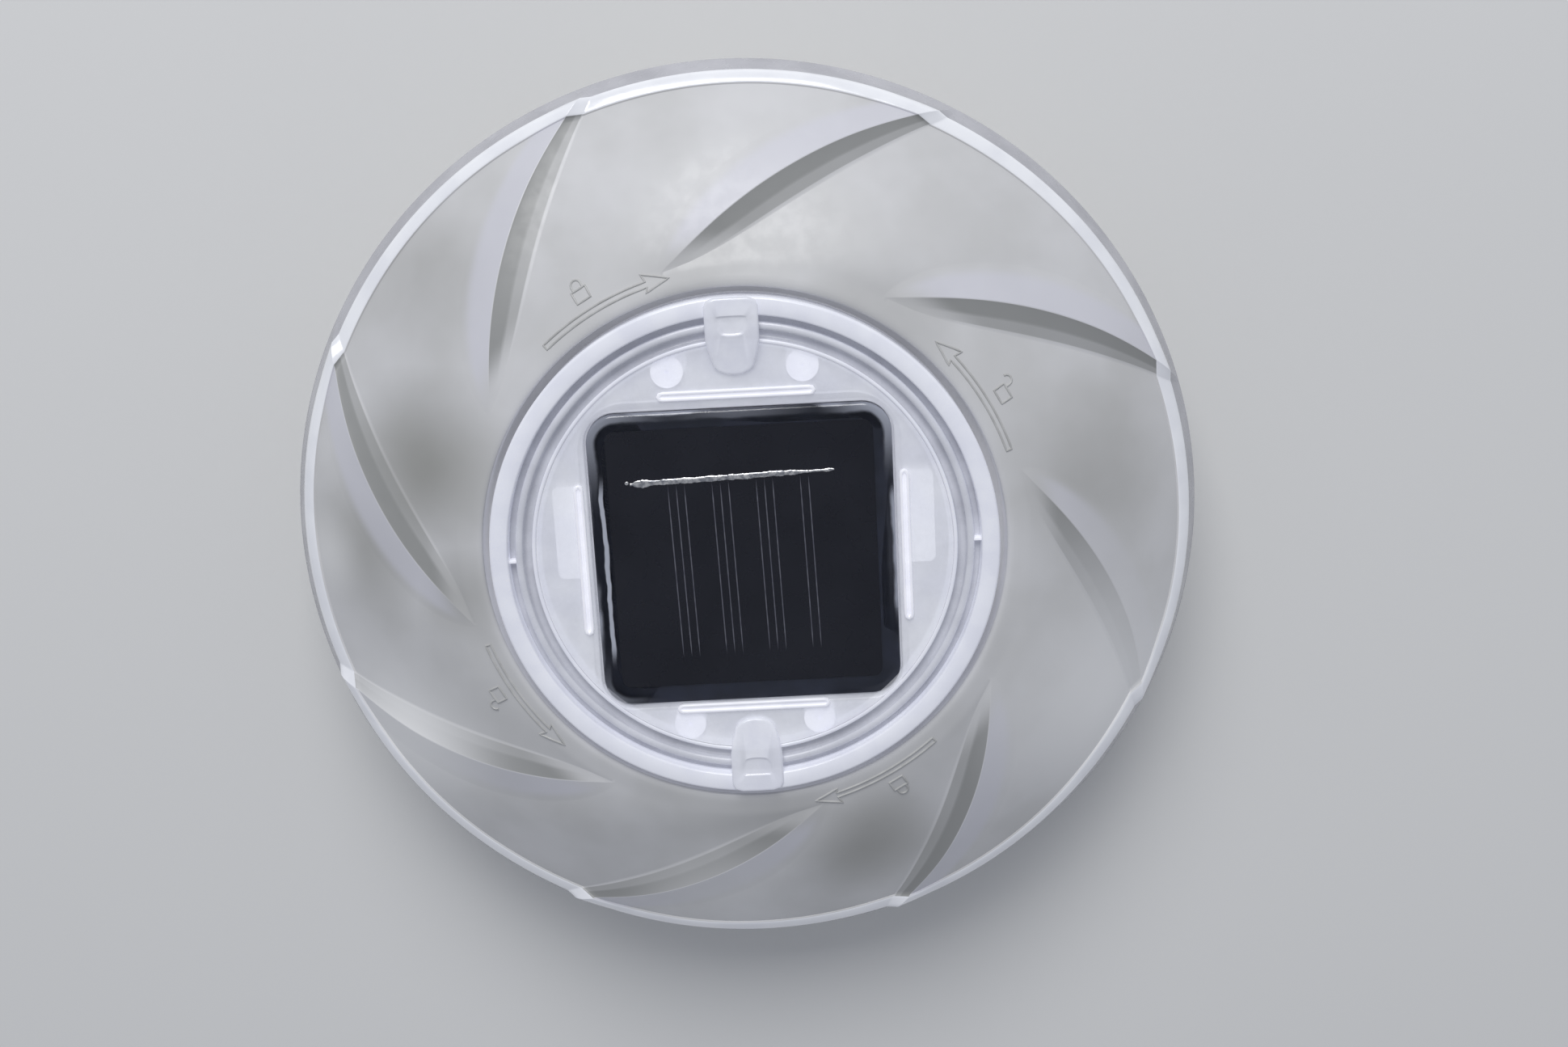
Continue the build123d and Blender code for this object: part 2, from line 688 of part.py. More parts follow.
# ------------------------------------------------------------------ battery cover
with BuildPart() as battery_cover:
    with BuildSketch(Plane.XY.offset(HOUSING_BOTTOM)):
        with Locations((0, BATTERY_Y)):
            RectangleRounded(COVER_LENGTH, COVER_WIDTH, COVER_CORNER)
    extrude(amount=COVER_TOP - HOUSING_BOTTOM)
    with BuildSketch(Plane.XY.offset(HOUSING_BOTTOM)):
        with Locations((TOWER_X, BATTERY_Y), (-TOWER_X, BATTERY_Y)):
            Circle(2.3)
    extrude(amount=0.8, mode=Mode.SUBTRACT)
    with BuildSketch(Plane.XY.offset(HOUSING_BOTTOM)):
        with Locations((TOWER_X, BATTERY_Y), (-TOWER_X, BATTERY_Y)):
            Circle(1.25)
    extrude(amount=3, mode=Mode.SUBTRACT)
save(battery_cover.part, "battery_cover")

with BuildPart() as battery_gasket:
    with BuildSketch(Plane.XY.offset(COVER_TOP)):
        with Locations((0, BATTERY_Y)):
            RectangleRounded(70, 19, 3)
            RectangleRounded(66, 15.6, 2, mode=Mode.SUBTRACT)
    extrude(amount=SHELF - COVER_TOP)
save(battery_gasket.part, "battery_gasket")

cover_screw = pan_screw(2.1, 0.8, 1.1, 9.0)
with BuildPart() as cover_screws:
    with Locations((TOWER_X, BATTERY_Y, HOUSING_BOTTOM + 0.8), (-TOWER_X, BATTERY_Y, HOUSING_BOTTOM + 0.8)):
        add(cover_screw)
save(cover_screws.part, "cover_screws")

# ------------------------------------------------------------------ leads
LEAD_RADIUS = 0.65

for name, side in (("solar_lead_black", -1), ("solar_lead_red", 1)):
    lead = wire_run(
        [(3 * side, -12, PAD_TOP), (3 * side, -12, 24.6), (4.5 * side, -18, 22.6), (4.5 * side, -18, BOARD_TOP)],
        [1.6, 1.6],
        LEAD_RADIUS,
    )
    save(lead, name)

for name, tab_x, end_x in (
    ("battery_lead_black", BAY_LOW_X + 0.2, -23.0),
    ("battery_lead_red", BAY_HIGH_X - 0.2, 23.0),
):
    lead_z = TAB_TOP + LEAD_RADIUS
    lead = wire_run(
        [(tab_x, 2.2, lead_z), (tab_x, -9, lead_z), (end_x, -19, 23.5), (end_x, -19, BOARD_TOP)],
        [3.0, 2.2],
        LEAD_RADIUS,
    )
    save(lead, name)
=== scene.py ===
from math import atan2, cos, degrees, exp, hypot, pi, radians, sin, sqrt

import bmesh
import bpy
from mathutils import Matrix, Vector, noise


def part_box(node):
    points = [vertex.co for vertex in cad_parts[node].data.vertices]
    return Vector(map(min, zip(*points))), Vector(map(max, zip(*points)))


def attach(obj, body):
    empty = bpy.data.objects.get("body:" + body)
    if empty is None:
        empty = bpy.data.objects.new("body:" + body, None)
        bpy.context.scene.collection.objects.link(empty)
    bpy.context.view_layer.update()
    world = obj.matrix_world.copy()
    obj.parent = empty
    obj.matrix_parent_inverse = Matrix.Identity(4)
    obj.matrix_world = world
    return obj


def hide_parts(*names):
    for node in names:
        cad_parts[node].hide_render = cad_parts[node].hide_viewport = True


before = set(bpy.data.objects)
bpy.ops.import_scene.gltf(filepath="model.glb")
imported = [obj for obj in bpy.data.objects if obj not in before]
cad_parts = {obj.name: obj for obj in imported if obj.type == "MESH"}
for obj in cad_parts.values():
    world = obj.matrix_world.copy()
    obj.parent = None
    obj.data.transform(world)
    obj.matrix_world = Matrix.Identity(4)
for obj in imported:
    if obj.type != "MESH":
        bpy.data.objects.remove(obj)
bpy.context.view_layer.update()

MM = 0.001
RAISE = 32.0  # heights below are in millimetres above a level this far over the foot


# ------------------------------------------------------------------ small helpers
def polar(radius, angle, z=None):
    """Point at a radius and an angle in degrees."""
    x, y = radius * cos(radians(angle)), radius * sin(radians(angle))
    return (x, y) if z is None else (x, y, z)


def smooth(x):
    """Soft step from 0 to 1."""
    x = min(1.0, max(0.0, x))
    return x * x * (3 - 2 * x)


def lerp(a, b, t):
    """Value between two others, at a share of the way."""
    return a + (b - a) * t


def node_height(node, end):
    """Height of the lower (0) or upper (1) end of a node."""
    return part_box(node)[end].z / MM - RAISE


class Shape:
    """Mesh under construction, in millimetres."""

    def __init__(self):
        self.points, self.faces, self.marks, self.tones = [], [], [], []

    def loop(self, points):
        """Add points and return their numbers."""
        first = len(self.points)
        self.points.extend(points)
        return list(range(first, len(self.points)))

    def bridge(self, a, b, mark=0, closed=True):
        """Skin between two equal loops. The mark picks the material."""
        count = len(a)
        for i in range(count if closed else count - 1):
            j = (i + 1) % count
            self.faces.append((a[i], a[j], b[j], b[i]))
            self.marks.append(mark)

    def cap(self, ring, mark=0, flip=False):
        """Fan from a ring to its middle."""
        middle = [sum(self.points[i][k] for i in ring) / len(ring) for k in range(3)]
        self.points.append(tuple(middle))
        hub = len(self.points) - 1
        for i in range(len(ring)):
            a, b = ring[i], ring[(i + 1) % len(ring)]
            self.faces.append((b, a, hub) if flip else (a, b, hub))
            self.marks.append(mark)

    def stack(self, loops, marks=0, torus=False, closed=True):
        """Skin through a list of equal loops."""
        rings = [self.loop(points) for points in loops]
        for i in range(len(rings) - 1):
            mark = marks[i] if isinstance(marks, (list, tuple)) else marks
            self.bridge(rings[i], rings[i + 1], mark, closed)
        if torus:
            last = marks[-1] if isinstance(marks, (list, tuple)) else marks
            self.bridge(rings[-1], rings[0], last, closed)
        return rings

    def revolve(self, profile, count=240, marks=0, torus=True, start=0.0, stop=360.0):
        """Turned solid from a profile of (radius, z)."""
        full = abs(stop - start) >= 360
        steps = count if full else count + 1
        angles = [start + (stop - start) * i / count for i in range(steps)]
        loops = [[polar(r, a, z) for a in angles] for r, z in profile]
        rings = self.stack(loops, marks, torus, closed=full)
        if not full:
            self.faces.append(tuple(ring[0] for ring in rings))
            self.faces.append(tuple(ring[-1] for ring in reversed(rings)))
            self.marks.extend([0, 0])
        return rings

    def merge(self, other):
        """Add another shape's mesh."""
        base = len(self.points)
        self.points.extend(other.points)
        self.faces.extend(tuple(i + base for i in face) for face in other.faces)
        self.marks.extend(other.marks)

    def make(self, name, materials, body, slot, nodes=(), sharp=40.0):
        """Turn the mesh into a piece that rides on a body and stands for CAD nodes."""
        mesh = bpy.data.meshes.new(name)
        mesh.from_pydata([(x * MM, y * MM, (z + RAISE) * MM) for x, y, z in self.points], [], self.faces)
        for material in materials:
            mesh.materials.append(material)
        mesh.polygons.foreach_set("material_index", self.marks)
        # per-point tone that carries the dome's painted flute light and shade
        if self.tones:
            tone = mesh.attributes.new("tone", "FLOAT", "POINT")
            tone.data.foreach_set("value", self.tones)
        mesh.validate()
        work = bmesh.new()
        work.from_mesh(mesh)
        bmesh.ops.remove_doubles(work, verts=work.verts, dist=1e-7)
        bmesh.ops.recalc_face_normals(work, faces=work.faces)
        work.to_mesh(mesh)
        work.free()
        mesh.polygons.foreach_set("use_smooth", [True] * len(mesh.polygons))
        mesh.set_sharp_from_angle(angle=radians(sharp))
        obj = bpy.data.objects.new(name, mesh)
        bpy.context.scene.collection.objects.link(obj)
        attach(obj, body)
        if nodes:
            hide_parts(*nodes)
        return obj


def rounded_rectangle(width, height, corner, count, cx=0.0, cy=0.0):
    """Outline of a rounded rectangle as evenly spread (x, y) points from +X, counter-clockwise."""
    corner = min(corner, width / 2 - 1e-3, height / 2 - 1e-3)
    hx, hy = width / 2 - corner, height / 2 - corner
    arc = corner * pi / 2
    parts = [("line", (width / 2, 0), (width / 2, hy)), ("arc", (hx, hy), 0),
             ("line", (hx, height / 2), (-hx, height / 2)), ("arc", (-hx, hy), 90),
             ("line", (-width / 2, hy), (-width / 2, -hy)), ("arc", (-hx, -hy), 180),
             ("line", (-hx, -height / 2), (hx, -height / 2)), ("arc", (hx, -hy), 270),
             ("line", (width / 2, -hy), (width / 2, 0))]
    lengths = [arc if p[0] == "arc" else hypot(p[2][0] - p[1][0], p[2][1] - p[1][1]) for p in parts]
    total = sum(lengths)
    points = []
    for i in range(count):
        distance = total * i / count
        for part, length in zip(parts, lengths):
            if distance <= length + 1e-9:
                break
            distance -= length
        if part[0] == "arc":
            turn = part[2] + 90 * distance / length
            x, y = part[1][0] + corner * cos(radians(turn)), part[1][1] + corner * sin(radians(turn))
        else:
            t = distance / length if length else 0
            x, y = lerp(part[1][0], part[2][0], t), lerp(part[1][1], part[2][1], t)
        points.append((x + cx, y + cy))
    return points


def rounded_block(width, height, corner, bottom, top, fillet, cx=0.0, cy=0.0, count=64):
    """Closed block with a rounded outline and a rounded upper edge."""
    shape = Shape()
    loops = [(0.0, bottom)]
    for step in range(6):
        a = radians(90 * step / 5)
        loops.append((fillet * (1 - cos(a)), top - fillet * (1 - sin(a))))
    rings = [shape.loop([(x, y, z) for x, y in rounded_rectangle(
        width - 2 * inset, height - 2 * inset, corner - inset * 0.9, count, cx, cy)]) for inset, z in loops]
    for a, b in zip(rings, rings[1:]):
        shape.bridge(a, b)
    shape.cap(rings[0], flip=True)
    shape.cap(rings[-1])
    return shape


def rod(radius, bottom, top, cx, cy, fillet=0.3, count=40):
    """Upright pin with a rounded top."""
    return rounded_block(2 * radius, 2 * radius, radius, bottom, top, fillet, cx, cy, count)


# ------------------------------------------------------------------ materials
class Look:
    """Node tree of one procedural material."""

    def __init__(self, name, **sockets):
        self.material = bpy.data.materials.new(name)
        self.material.use_nodes = True
        self.tree = self.material.node_tree
        self.shader = self.tree.nodes["Principled BSDF"]
        coordinates = self.tree.nodes.new("ShaderNodeTexCoord")
        self.place = coordinates.outputs["Object"]
        for key, value in sockets.items():
            self.shader.inputs[key.replace("_", " ")].default_value = value

    def node(self, kind, **settings):
        made = self.tree.nodes.new(kind)
        for key, value in settings.items():
            setattr(made, key, value)
        return made

    def link(self, a, b):
        self.tree.links.new(a, b)

    def scaled(self, x, y, z):
        """Object coordinates stretched along each axis."""
        mapping = self.node("ShaderNodeMapping")
        mapping.inputs["Scale"].default_value = (x, y, z)
        self.link(self.place, mapping.inputs["Vector"])
        return mapping.outputs["Vector"]

    def noise(self, scale, detail=3.0, rough=0.5, where=None):
        texture = self.node("ShaderNodeTexNoise")
        texture.inputs["Scale"].default_value = scale
        texture.inputs["Detail"].default_value = detail
        texture.inputs["Roughness"].default_value = rough
        self.link(where or self.place, texture.inputs["Vector"])
        return texture.outputs["Fac"]

    def math(self, operation, a, b=None):
        made = self.node("ShaderNodeMath", operation=operation)
        for socket, value in zip(made.inputs, (a, b)):
            if value is None:
                continue
            if isinstance(value, (int, float)):
                socket.default_value = value
            else:
                self.link(value, socket)
        return made.outputs[0]

    def ramp(self, value, low, high, out_low=0.0, out_high=1.0):
        """Soft ramp of a value."""
        made = self.node("ShaderNodeMapRange", interpolation_type="SMOOTHSTEP")
        for key, number in (("From Min", low), ("From Max", high), ("To Min", out_low), ("To Max", out_high)):
            made.inputs[key].default_value = number
        self.link(value, made.inputs["Value"])
        return made.outputs["Result"]

    def mix(self, share, a, b):
        """Colour between two others."""
        made = self.node("ShaderNodeMix", data_type="RGBA")
        self.link(share, made.inputs["Factor"])
        for socket, value in ((made.inputs[6], a), (made.inputs[7], b)):
            if isinstance(value, tuple):
                socket.default_value = (*value, 1.0)
            else:
                self.link(value, socket)
        return made.outputs[2]

    def axes(self):
        split = self.node("ShaderNodeSeparateXYZ")
        self.link(self.place, split.inputs[0])
        return split.outputs

    def radius(self):
        """Distance from the upright axis."""
        x, y, _ = self.axes()
        return self.math("SQRT", self.math("ADD", self.math("MULTIPLY", x, x), self.math("MULTIPLY", y, y)))

    def spot(self, x, y, z, size):
        """Soft blob round a point in millimetres."""
        gap = self.node("ShaderNodeVectorMath", operation="DISTANCE")
        self.link(self.place, gap.inputs[0])
        gap.inputs[1].default_value = (x * MM, y * MM, (z + RAISE) * MM)
        return self.ramp(gap.outputs["Value"], 0.0, size * MM, 1.0, 0.0)

    def colour(self, value):
        self.link(value, self.shader.inputs["Base Color"])

    def rough(self, value):
        self.link(value, self.shader.inputs["Roughness"])

    def alpha(self, value):
        self.link(value, self.shader.inputs["Alpha"])

    def bump(self, value, strength, distance_mm):
        made = self.node("ShaderNodeBump")
        made.inputs["Strength"].default_value = strength
        made.inputs["Distance"].default_value = distance_mm * MM
        self.link(value, made.inputs["Height"])
        self.link(made.outputs["Normal"], self.shader.inputs["Normal"])


def moulded(name, light, dark, rough, alpha=1.0, patch=45.0, bump=0.12, **sockets):
    """Moulded plastic with cloudy variation, fine grain and a soft sheen."""
    look = Look(name, **sockets)
    cloud = look.ramp(look.noise(patch, 4.0), 0.35, 0.68)
    look.colour(look.mix(cloud, light, dark))
    grain = look.noise(1800.0, 2.0)
    look.rough(look.ramp(look.noise(patch * 3, 3.0), 0.3, 0.7, *rough))
    look.bump(grain, bump, 0.03)
    if alpha < 1.0:
        look.alpha(look.ramp(look.noise(patch * 1.7, 2.0), 0.3, 0.7, alpha - 0.03, alpha + 0.03))
    return look.material


def painted_glow(strength):
    """Painted light: a faint emission that stands in for light coming through translucent plastic, on parts
    that are no lamp.
    """
    return {"Emission_Color": (0.88, 0.90, 1.0, 1.0), "Emission_Strength": strength}


# painted shade: soft dark patches on the dome, as (x, y, z, size, strength)
PAINTED_SHADE_PATCHES = ((-70, 22, 27, 27, 0.9), (-84, 2, 21, 26, 0.65), (-64, -8, 29, 18, 0.5),
                (24, -73, 24, 24, 0.75), (78, 12, 24, 30, 0.55), (-66, 62, 19, 28, 0.45))
# and painted light: paler soft patches on the dome, in the same way
PAINTED_LIGHT_PATCHES = ((82, -46, 17, 40, 0.95), (-10, -92, 17, 30, 0.35),
                 (-84, -46, 18, 32, 0.9), (-96, 0, 14, 14, 0.5))

# and where the painted light and shade of the flutes are faint
FAINT_FLUTES = ((84, -16, 18, 40, 0.75), (-78, -48, 18, 40, 0.6), (-8, -88, 17, 30, 0.4))


def frosted_dome():
    """Frosted white plastic of the dome: cloudy, with painted shade in soft patches and round the well,
    painted light in paler patches, and painted light and shade on the flutes.
    """
    look = Look("frosted_dome", Specular_IOR_Level=0.45, Coat_Weight=0.2, Coat_Roughness=0.28)
    radius = look.radius()
    # painted shade: a cloudy darker band round the well
    near_well = look.ramp(radius, 0.060, 0.086, 1.0, 0.0)
    cloud = look.ramp(look.noise(24.0, 2.0, 0.4), 0.46, 0.70)
    patches = look.math("MULTIPLY", cloud, look.math("MULTIPLY", near_well, 0.4))
    # painted shade in soft patches
    for x, y, z, size, weight in PAINTED_SHADE_PATCHES:
        patches = look.math("MAXIMUM", patches, look.math("MULTIPLY", look.spot(x, y, z, size), weight))
    tone = look.mix(look.ramp(look.noise(45.0, 3.0), 0.3, 0.7), (0.640, 0.640, 0.640), (0.720, 0.720, 0.730))
    tone = look.mix(look.math("MULTIPLY", patches, 0.8), tone, (0.250, 0.250, 0.225))
    # painted light on the flutes' leaves and painted shade on their walls, read from the per-point tone
    facet = look.node("ShaderNodeAttribute", attribute_name="tone").outputs["Fac"]
    strength = 0.85
    for x, y, z, size, weight in FAINT_FLUTES:
        faded = look.math("MULTIPLY", look.spot(x, y, z, size), weight)
        strength = look.math("MULTIPLY", look.math("SUBTRACT", 1.0, faded), strength)
    leaf = look.math("MULTIPLY", look.ramp(facet, 0.0, 1.0, 0.0, 0.7), strength)
    wall = look.math("MULTIPLY", look.ramp(facet, -0.9, 0.0, 1.0, 0.0), strength)
    tone = look.mix(leaf, tone, (0.72, 0.72, 0.80))
    tone = look.mix(wall, tone, (0.270, 0.275, 0.268))
    # painted light: paler patches
    for x, y, z, size, weight in PAINTED_LIGHT_PATCHES:
        tone = look.mix(look.math("MULTIPLY", look.spot(x, y, z, size), weight), tone, (0.95, 0.95, 0.95))
    look.colour(tone)
    look.rough(look.ramp(look.noise(300.0, 3.0), 0.3, 0.7, 0.32, 0.46))
    look.bump(look.noise(2200.0, 2.0), 0.12, 0.03)
    return look.material


def clear_housing():
    """Slightly frosted clear plastic. Near its top, where its bosses and towers are bulky, it is cloudy from
    their bulk and painted near white and more opaque as painted light.
    """
    look = Look("clear_housing", Coat_Weight=0.3, Coat_Roughness=0.12, **painted_glow(0.10))
    cloud = look.ramp(look.noise(90.0, 3.0), 0.35, 0.68)
    thin = look.mix(cloud, (0.74, 0.75, 0.78), (0.62, 0.63, 0.67))
    # painted light: near white and more opaque above this height, where the towers show bright through the
    # lid
    thick_lit_top = look.ramp(look.axes()[2], 0.050, 0.056)
    look.colour(look.mix(thick_lit_top, thin, (0.99, 0.99, 1.0)))
    look.rough(look.ramp(look.noise(260.0, 3.0), 0.3, 0.7, 0.2, 0.32))
    look.bump(look.noise(1800.0, 2.0), 0.1, 0.03)
    look.alpha(look.ramp(thick_lit_top, 0.0, 1.0, 0.80, 1.0))
    return look.material


# the emission set on the rim, the lid's parts, the housing and the well is painted light
MAT = {
    "dome": frosted_dome(),
    # the rim's bevel is near white: a painted highlight
    "rim": moulded("rim_painted_highlight", (0.96, 0.97, 1.0), (0.88, 0.89, 0.93), (0.12, 0.22), patch=90.0,
                   bump=0.04, Coat_Weight=0.6, Coat_Roughness=0.08, **painted_glow(0.05)),
    "rim_side": moulded("rim_side", (0.62, 0.62, 0.66), (0.52, 0.52, 0.56), (0.2, 0.32), alpha=0.9,
                        patch=80.0, Coat_Weight=0.3, Coat_Roughness=0.15),
    "hull": moulded("frosted_hull", (0.74, 0.74, 0.75), (0.66, 0.66, 0.66), (0.34, 0.48), alpha=0.86,
                    patch=30.0, Coat_Weight=0.15, Coat_Roughness=0.3),
    "disc": moulded("lid_disc", (0.96, 0.97, 1.0), (0.88, 0.89, 0.95), (0.18, 0.3), alpha=0.40,
                    patch=120.0, Coat_Weight=0.4, Coat_Roughness=0.1, **painted_glow(0.19)),
    # the lid's grooves and ring step lines are darker and more opaque than the disc: painted shade in these
    # recesses
    "groove": moulded("lid_groove", (0.74, 0.75, 0.81), (0.64, 0.65, 0.71), (0.22, 0.34), alpha=0.9,
                      patch=120.0, Coat_Weight=0.3, Coat_Roughness=0.1, **painted_glow(0.05)),
    "band": moulded("lid_band", (0.93, 0.94, 1.0), (0.86, 0.87, 0.95), (0.2, 0.32), patch=120.0,
                    Coat_Weight=0.4, Coat_Roughness=0.12, **painted_glow(0.09)),
    "ridge": moulded("lid_ridge", (0.80, 0.81, 0.87), (0.72, 0.73, 0.79), (0.2, 0.32), patch=120.0,
                     Coat_Weight=0.3, Coat_Roughness=0.1),
    "grip": moulded("lid_grip", (0.90, 0.91, 0.96), (0.82, 0.83, 0.90), (0.12, 0.24), alpha=0.85,
                    patch=160.0, Coat_Weight=0.7, Coat_Roughness=0.06, **painted_glow(0.10)),
    "boss": moulded("lid_boss", (0.93, 0.93, 0.97), (0.86, 0.86, 0.92), (0.2, 0.35), patch=200.0,
                    Coat_Weight=0.2, Coat_Roughness=0.2, **painted_glow(0.2)),
    "housing": clear_housing(),
    # the well is lighter than the dome: painted light in the gap round the lid, where shade falls
    "well": moulded("well_painted_light", (0.80, 0.80, 0.81), (0.72, 0.72, 0.73), (0.3, 0.42), patch=60.0,
                    **painted_glow(0.05)),
    "mark": moulded("raised_marks", (0.58, 0.58, 0.57), (0.50, 0.50, 0.49), (0.3, 0.42), patch=300.0),
    "rubber": moulded("grey_rubber", (0.16, 0.16, 0.17), (0.11, 0.11, 0.12), (0.55, 0.7), patch=200.0),
    "foam": moulded("foam_tape", (0.62, 0.62, 0.60), (0.48, 0.48, 0.46), (0.85, 0.95), patch=900.0, bump=0.5),
    "board": moulded("panel_board", (0.020, 0.024, 0.042), (0.012, 0.015, 0.026), (0.3, 0.45), patch=160.0),
    "pcb": moulded("circuit_board", (0.03, 0.20, 0.08), (0.02, 0.14, 0.05), (0.3, 0.42), patch=300.0,
                   Coat_Weight=0.5, Coat_Roughness=0.15),
    "chip": moulded("chip_black", (0.028, 0.028, 0.03), (0.018, 0.018, 0.02), (0.45, 0.6), patch=600.0),
    "ferrite": moulded("ferrite", (0.09, 0.085, 0.08), (0.05, 0.048, 0.045), (0.5, 0.7), patch=500.0),
    "led": moulded("led_epoxy", (0.88, 0.90, 0.92), (0.80, 0.82, 0.86), (0.08, 0.14), alpha=0.75,
                   patch=400.0),
    "knob": moulded("knob_white", (0.85, 0.85, 0.84), (0.78, 0.78, 0.77), (0.35, 0.5), patch=500.0),
    "wrap": moulded("battery_wrap", (0.05, 0.28, 0.16), (0.035, 0.21, 0.12), (0.25, 0.38), patch=150.0,
                    Coat_Weight=0.4, Coat_Roughness=0.12),
    "black": moulded("lead_black", (0.03, 0.03, 0.032), (0.02, 0.02, 0.022), (0.4, 0.55), patch=400.0),
    "red": moulded("lead_red", (0.50, 0.03, 0.025), (0.38, 0.02, 0.018), (0.4, 0.55), patch=400.0),
}


def metal(name, light, dark, rough, patch, bump=0.1):
    """Bare metal with smears and fine scratches."""
    look = Look(name, Metallic=1.0)
    look.colour(look.mix(look.ramp(look.noise(patch, 3.0), 0.35, 0.65), light, dark))
    look.rough(look.ramp(look.noise(patch * 2.3, 3.0), 0.3, 0.7, *rough))
    look.bump(look.noise(2500.0, 2.0, where=look.scaled(1.0, 8.0, 1.0)), bump, 0.02)
    return look.material


def silicon():
    """Near-black blue silicon with faint crystal clouding, under a wet-looking face."""
    look = Look("silicon_cell", Specular_IOR_Level=0.25, Coat_Weight=0.4, Coat_Roughness=0.05)
    cloud = look.ramp(look.noise(50.0, 4.0), 0.3, 0.7)
    look.colour(look.mix(cloud, (0.0050, 0.0058, 0.0110), (0.0095, 0.0105, 0.0170)))
    look.rough(look.ramp(look.noise(160.0, 3.0), 0.3, 0.7, 0.22, 0.34))
    look.bump(look.noise(3000.0, 2.0), 0.05, 0.02)
    return look.material


def resin(half, corner_radius, cy):
    """Clear resin, barely there in the middle, with painted bluish-white highlights along the bead at its
    edge, in its corners and in one streak.
    """
    look = Look("clear_resin", Coat_Weight=1.0, Coat_Roughness=0.03, Specular_IOR_Level=0.6)
    x, y, _ = look.axes()
    straight = (half - corner_radius) * MM
    past_x = look.math("SUBTRACT", look.math("ABSOLUTE", x), straight)
    past_y = look.math("SUBTRACT", look.math("ABSOLUTE", look.math("SUBTRACT", y, cy * MM)), straight)
    out_x, out_y = look.math("MAXIMUM", past_x, 0.0), look.math("MAXIMUM", past_y, 0.0)
    reach = look.math("SQRT", look.math("ADD", look.math("MULTIPLY", out_x, out_x),
                                        look.math("MULTIPLY", out_y, out_y)))
    within = look.math("MINIMUM", look.math("MAXIMUM", past_x, past_y), 0.0)
    gap = look.math("SUBTRACT", corner_radius * MM, look.math("ADD", reach, within))
    wander = look.math("MULTIPLY", look.math("SUBTRACT", look.noise(90.0, 3.0), 0.5), 0.0020)
    # painted highlight along the edge bead, patchy and weaker towards -Y
    edge = look.ramp(look.math("ADD", gap, wander), 0.0001, 0.0015, 1.0, 0.0)
    edge = look.math("MULTIPLY", edge, look.ramp(look.noise(38.0, 2.0), 0.38, 0.56, 0.12, 1.0))
    edge = look.math("MULTIPLY", edge, look.ramp(y, (cy - half) * MM, (cy - half + 14) * MM, 0.25, 1.0))
    # painted highlights: brighter corners, and one bright streak inside the -X edge
    bead = look.ramp(look.math("ADD", gap, wander), 0.0015, 0.0027, 1.0, 0.0)
    for corner_x, corner_y, size, weight in ((1, 1, 24, 1.0), (-1, 1, 30, 0.85), (0, 1, 32, 0.55),
                                             (-1, -1, 18, 0.6), (1, 0, 30, 0.3), (1, -1, 14, 0.3)):
        corner_highlight = look.math("MULTIPLY", look.spot(corner_x * half, cy + corner_y * half, LIP_TOP, size), weight)
        edge = look.math("MAXIMUM", edge, look.math("MULTIPLY", bead, corner_highlight))
    off_line = look.math("ABSOLUTE", look.math("ADD", look.math("ADD", x, (half - 2.6) * MM), wander))
    off_middle = look.math("ABSOLUTE", look.math("SUBTRACT", y, (cy - 2) * MM))
    streak = look.math("MULTIPLY", look.ramp(off_line, 0.0003, 0.0007, 0.8, 0.0),
                       look.ramp(off_middle, 0.016, 0.024, 1.0, 0.0))
    edge = look.math("MAXIMUM", edge, streak)
    look.alpha(look.ramp(edge, 0.0, 1.0, 0.03, 0.80))
    look.colour(look.mix(look.math("MAXIMUM", streak, look.math("MULTIPLY", edge, 0.55)),
                         (0.05, 0.055, 0.08), (0.80, 0.84, 0.96)))
    look.rough(look.ramp(look.noise(220.0, 3.0), 0.3, 0.7, 0.05, 0.12))
    look.bump(look.noise(70.0, 2.0), 0.15, 0.15)
    return look.material


MAT["screw"] = metal("screw_steel", (0.62, 0.61, 0.59), (0.45, 0.44, 0.43), (0.25, 0.45), 400.0)
MAT["spring"] = metal("spring_steel", (0.66, 0.65, 0.62), (0.48, 0.47, 0.45), (0.22, 0.4), 300.0)
MAT["solder"] = metal("solder", (0.93, 0.92, 0.90), (0.42, 0.43, 0.46), (0.12, 0.42), 900.0, 0.5)
MAT["finger"] = metal("silver_line", (0.30, 0.30, 0.34), (0.20, 0.20, 0.24), (0.35, 0.5), 500.0)
MAT["can"] = metal("can_aluminium", (0.70, 0.70, 0.71), (0.55, 0.55, 0.56), (0.3, 0.45), 300.0)
MAT["cell"] = silicon()

NODE_LOOKS = {
    "sealing_ring": "rubber", "lid_gasket": "rubber", "battery_gasket": "rubber",
    "lamp_housing": "housing", "battery_cover": "housing",
    "lid_screws": "screw", "board_screws": "screw", "cover_screws": "screw",
    "panel_pad": "foam", "solar_board": "board", "solar_cell": "cell",
    "circuit_board": "pcb", "leds": "led", "control_chip": "chip", "switch_body": "chip",
    "inductor": "ferrite", "capacitor": "can", "switch_knob": "knob", "battery": "wrap",
    "contact_spring": "spring", "spring_plate": "spring", "plate_contact": "spring",
    "solar_lead_black": "black", "battery_lead_black": "black",
    "solar_lead_red": "red", "battery_lead_red": "red",
}
for node_name, key in NODE_LOOKS.items():
    for slot_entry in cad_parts[node_name].material_slots:
        slot_entry.material = MAT[key]

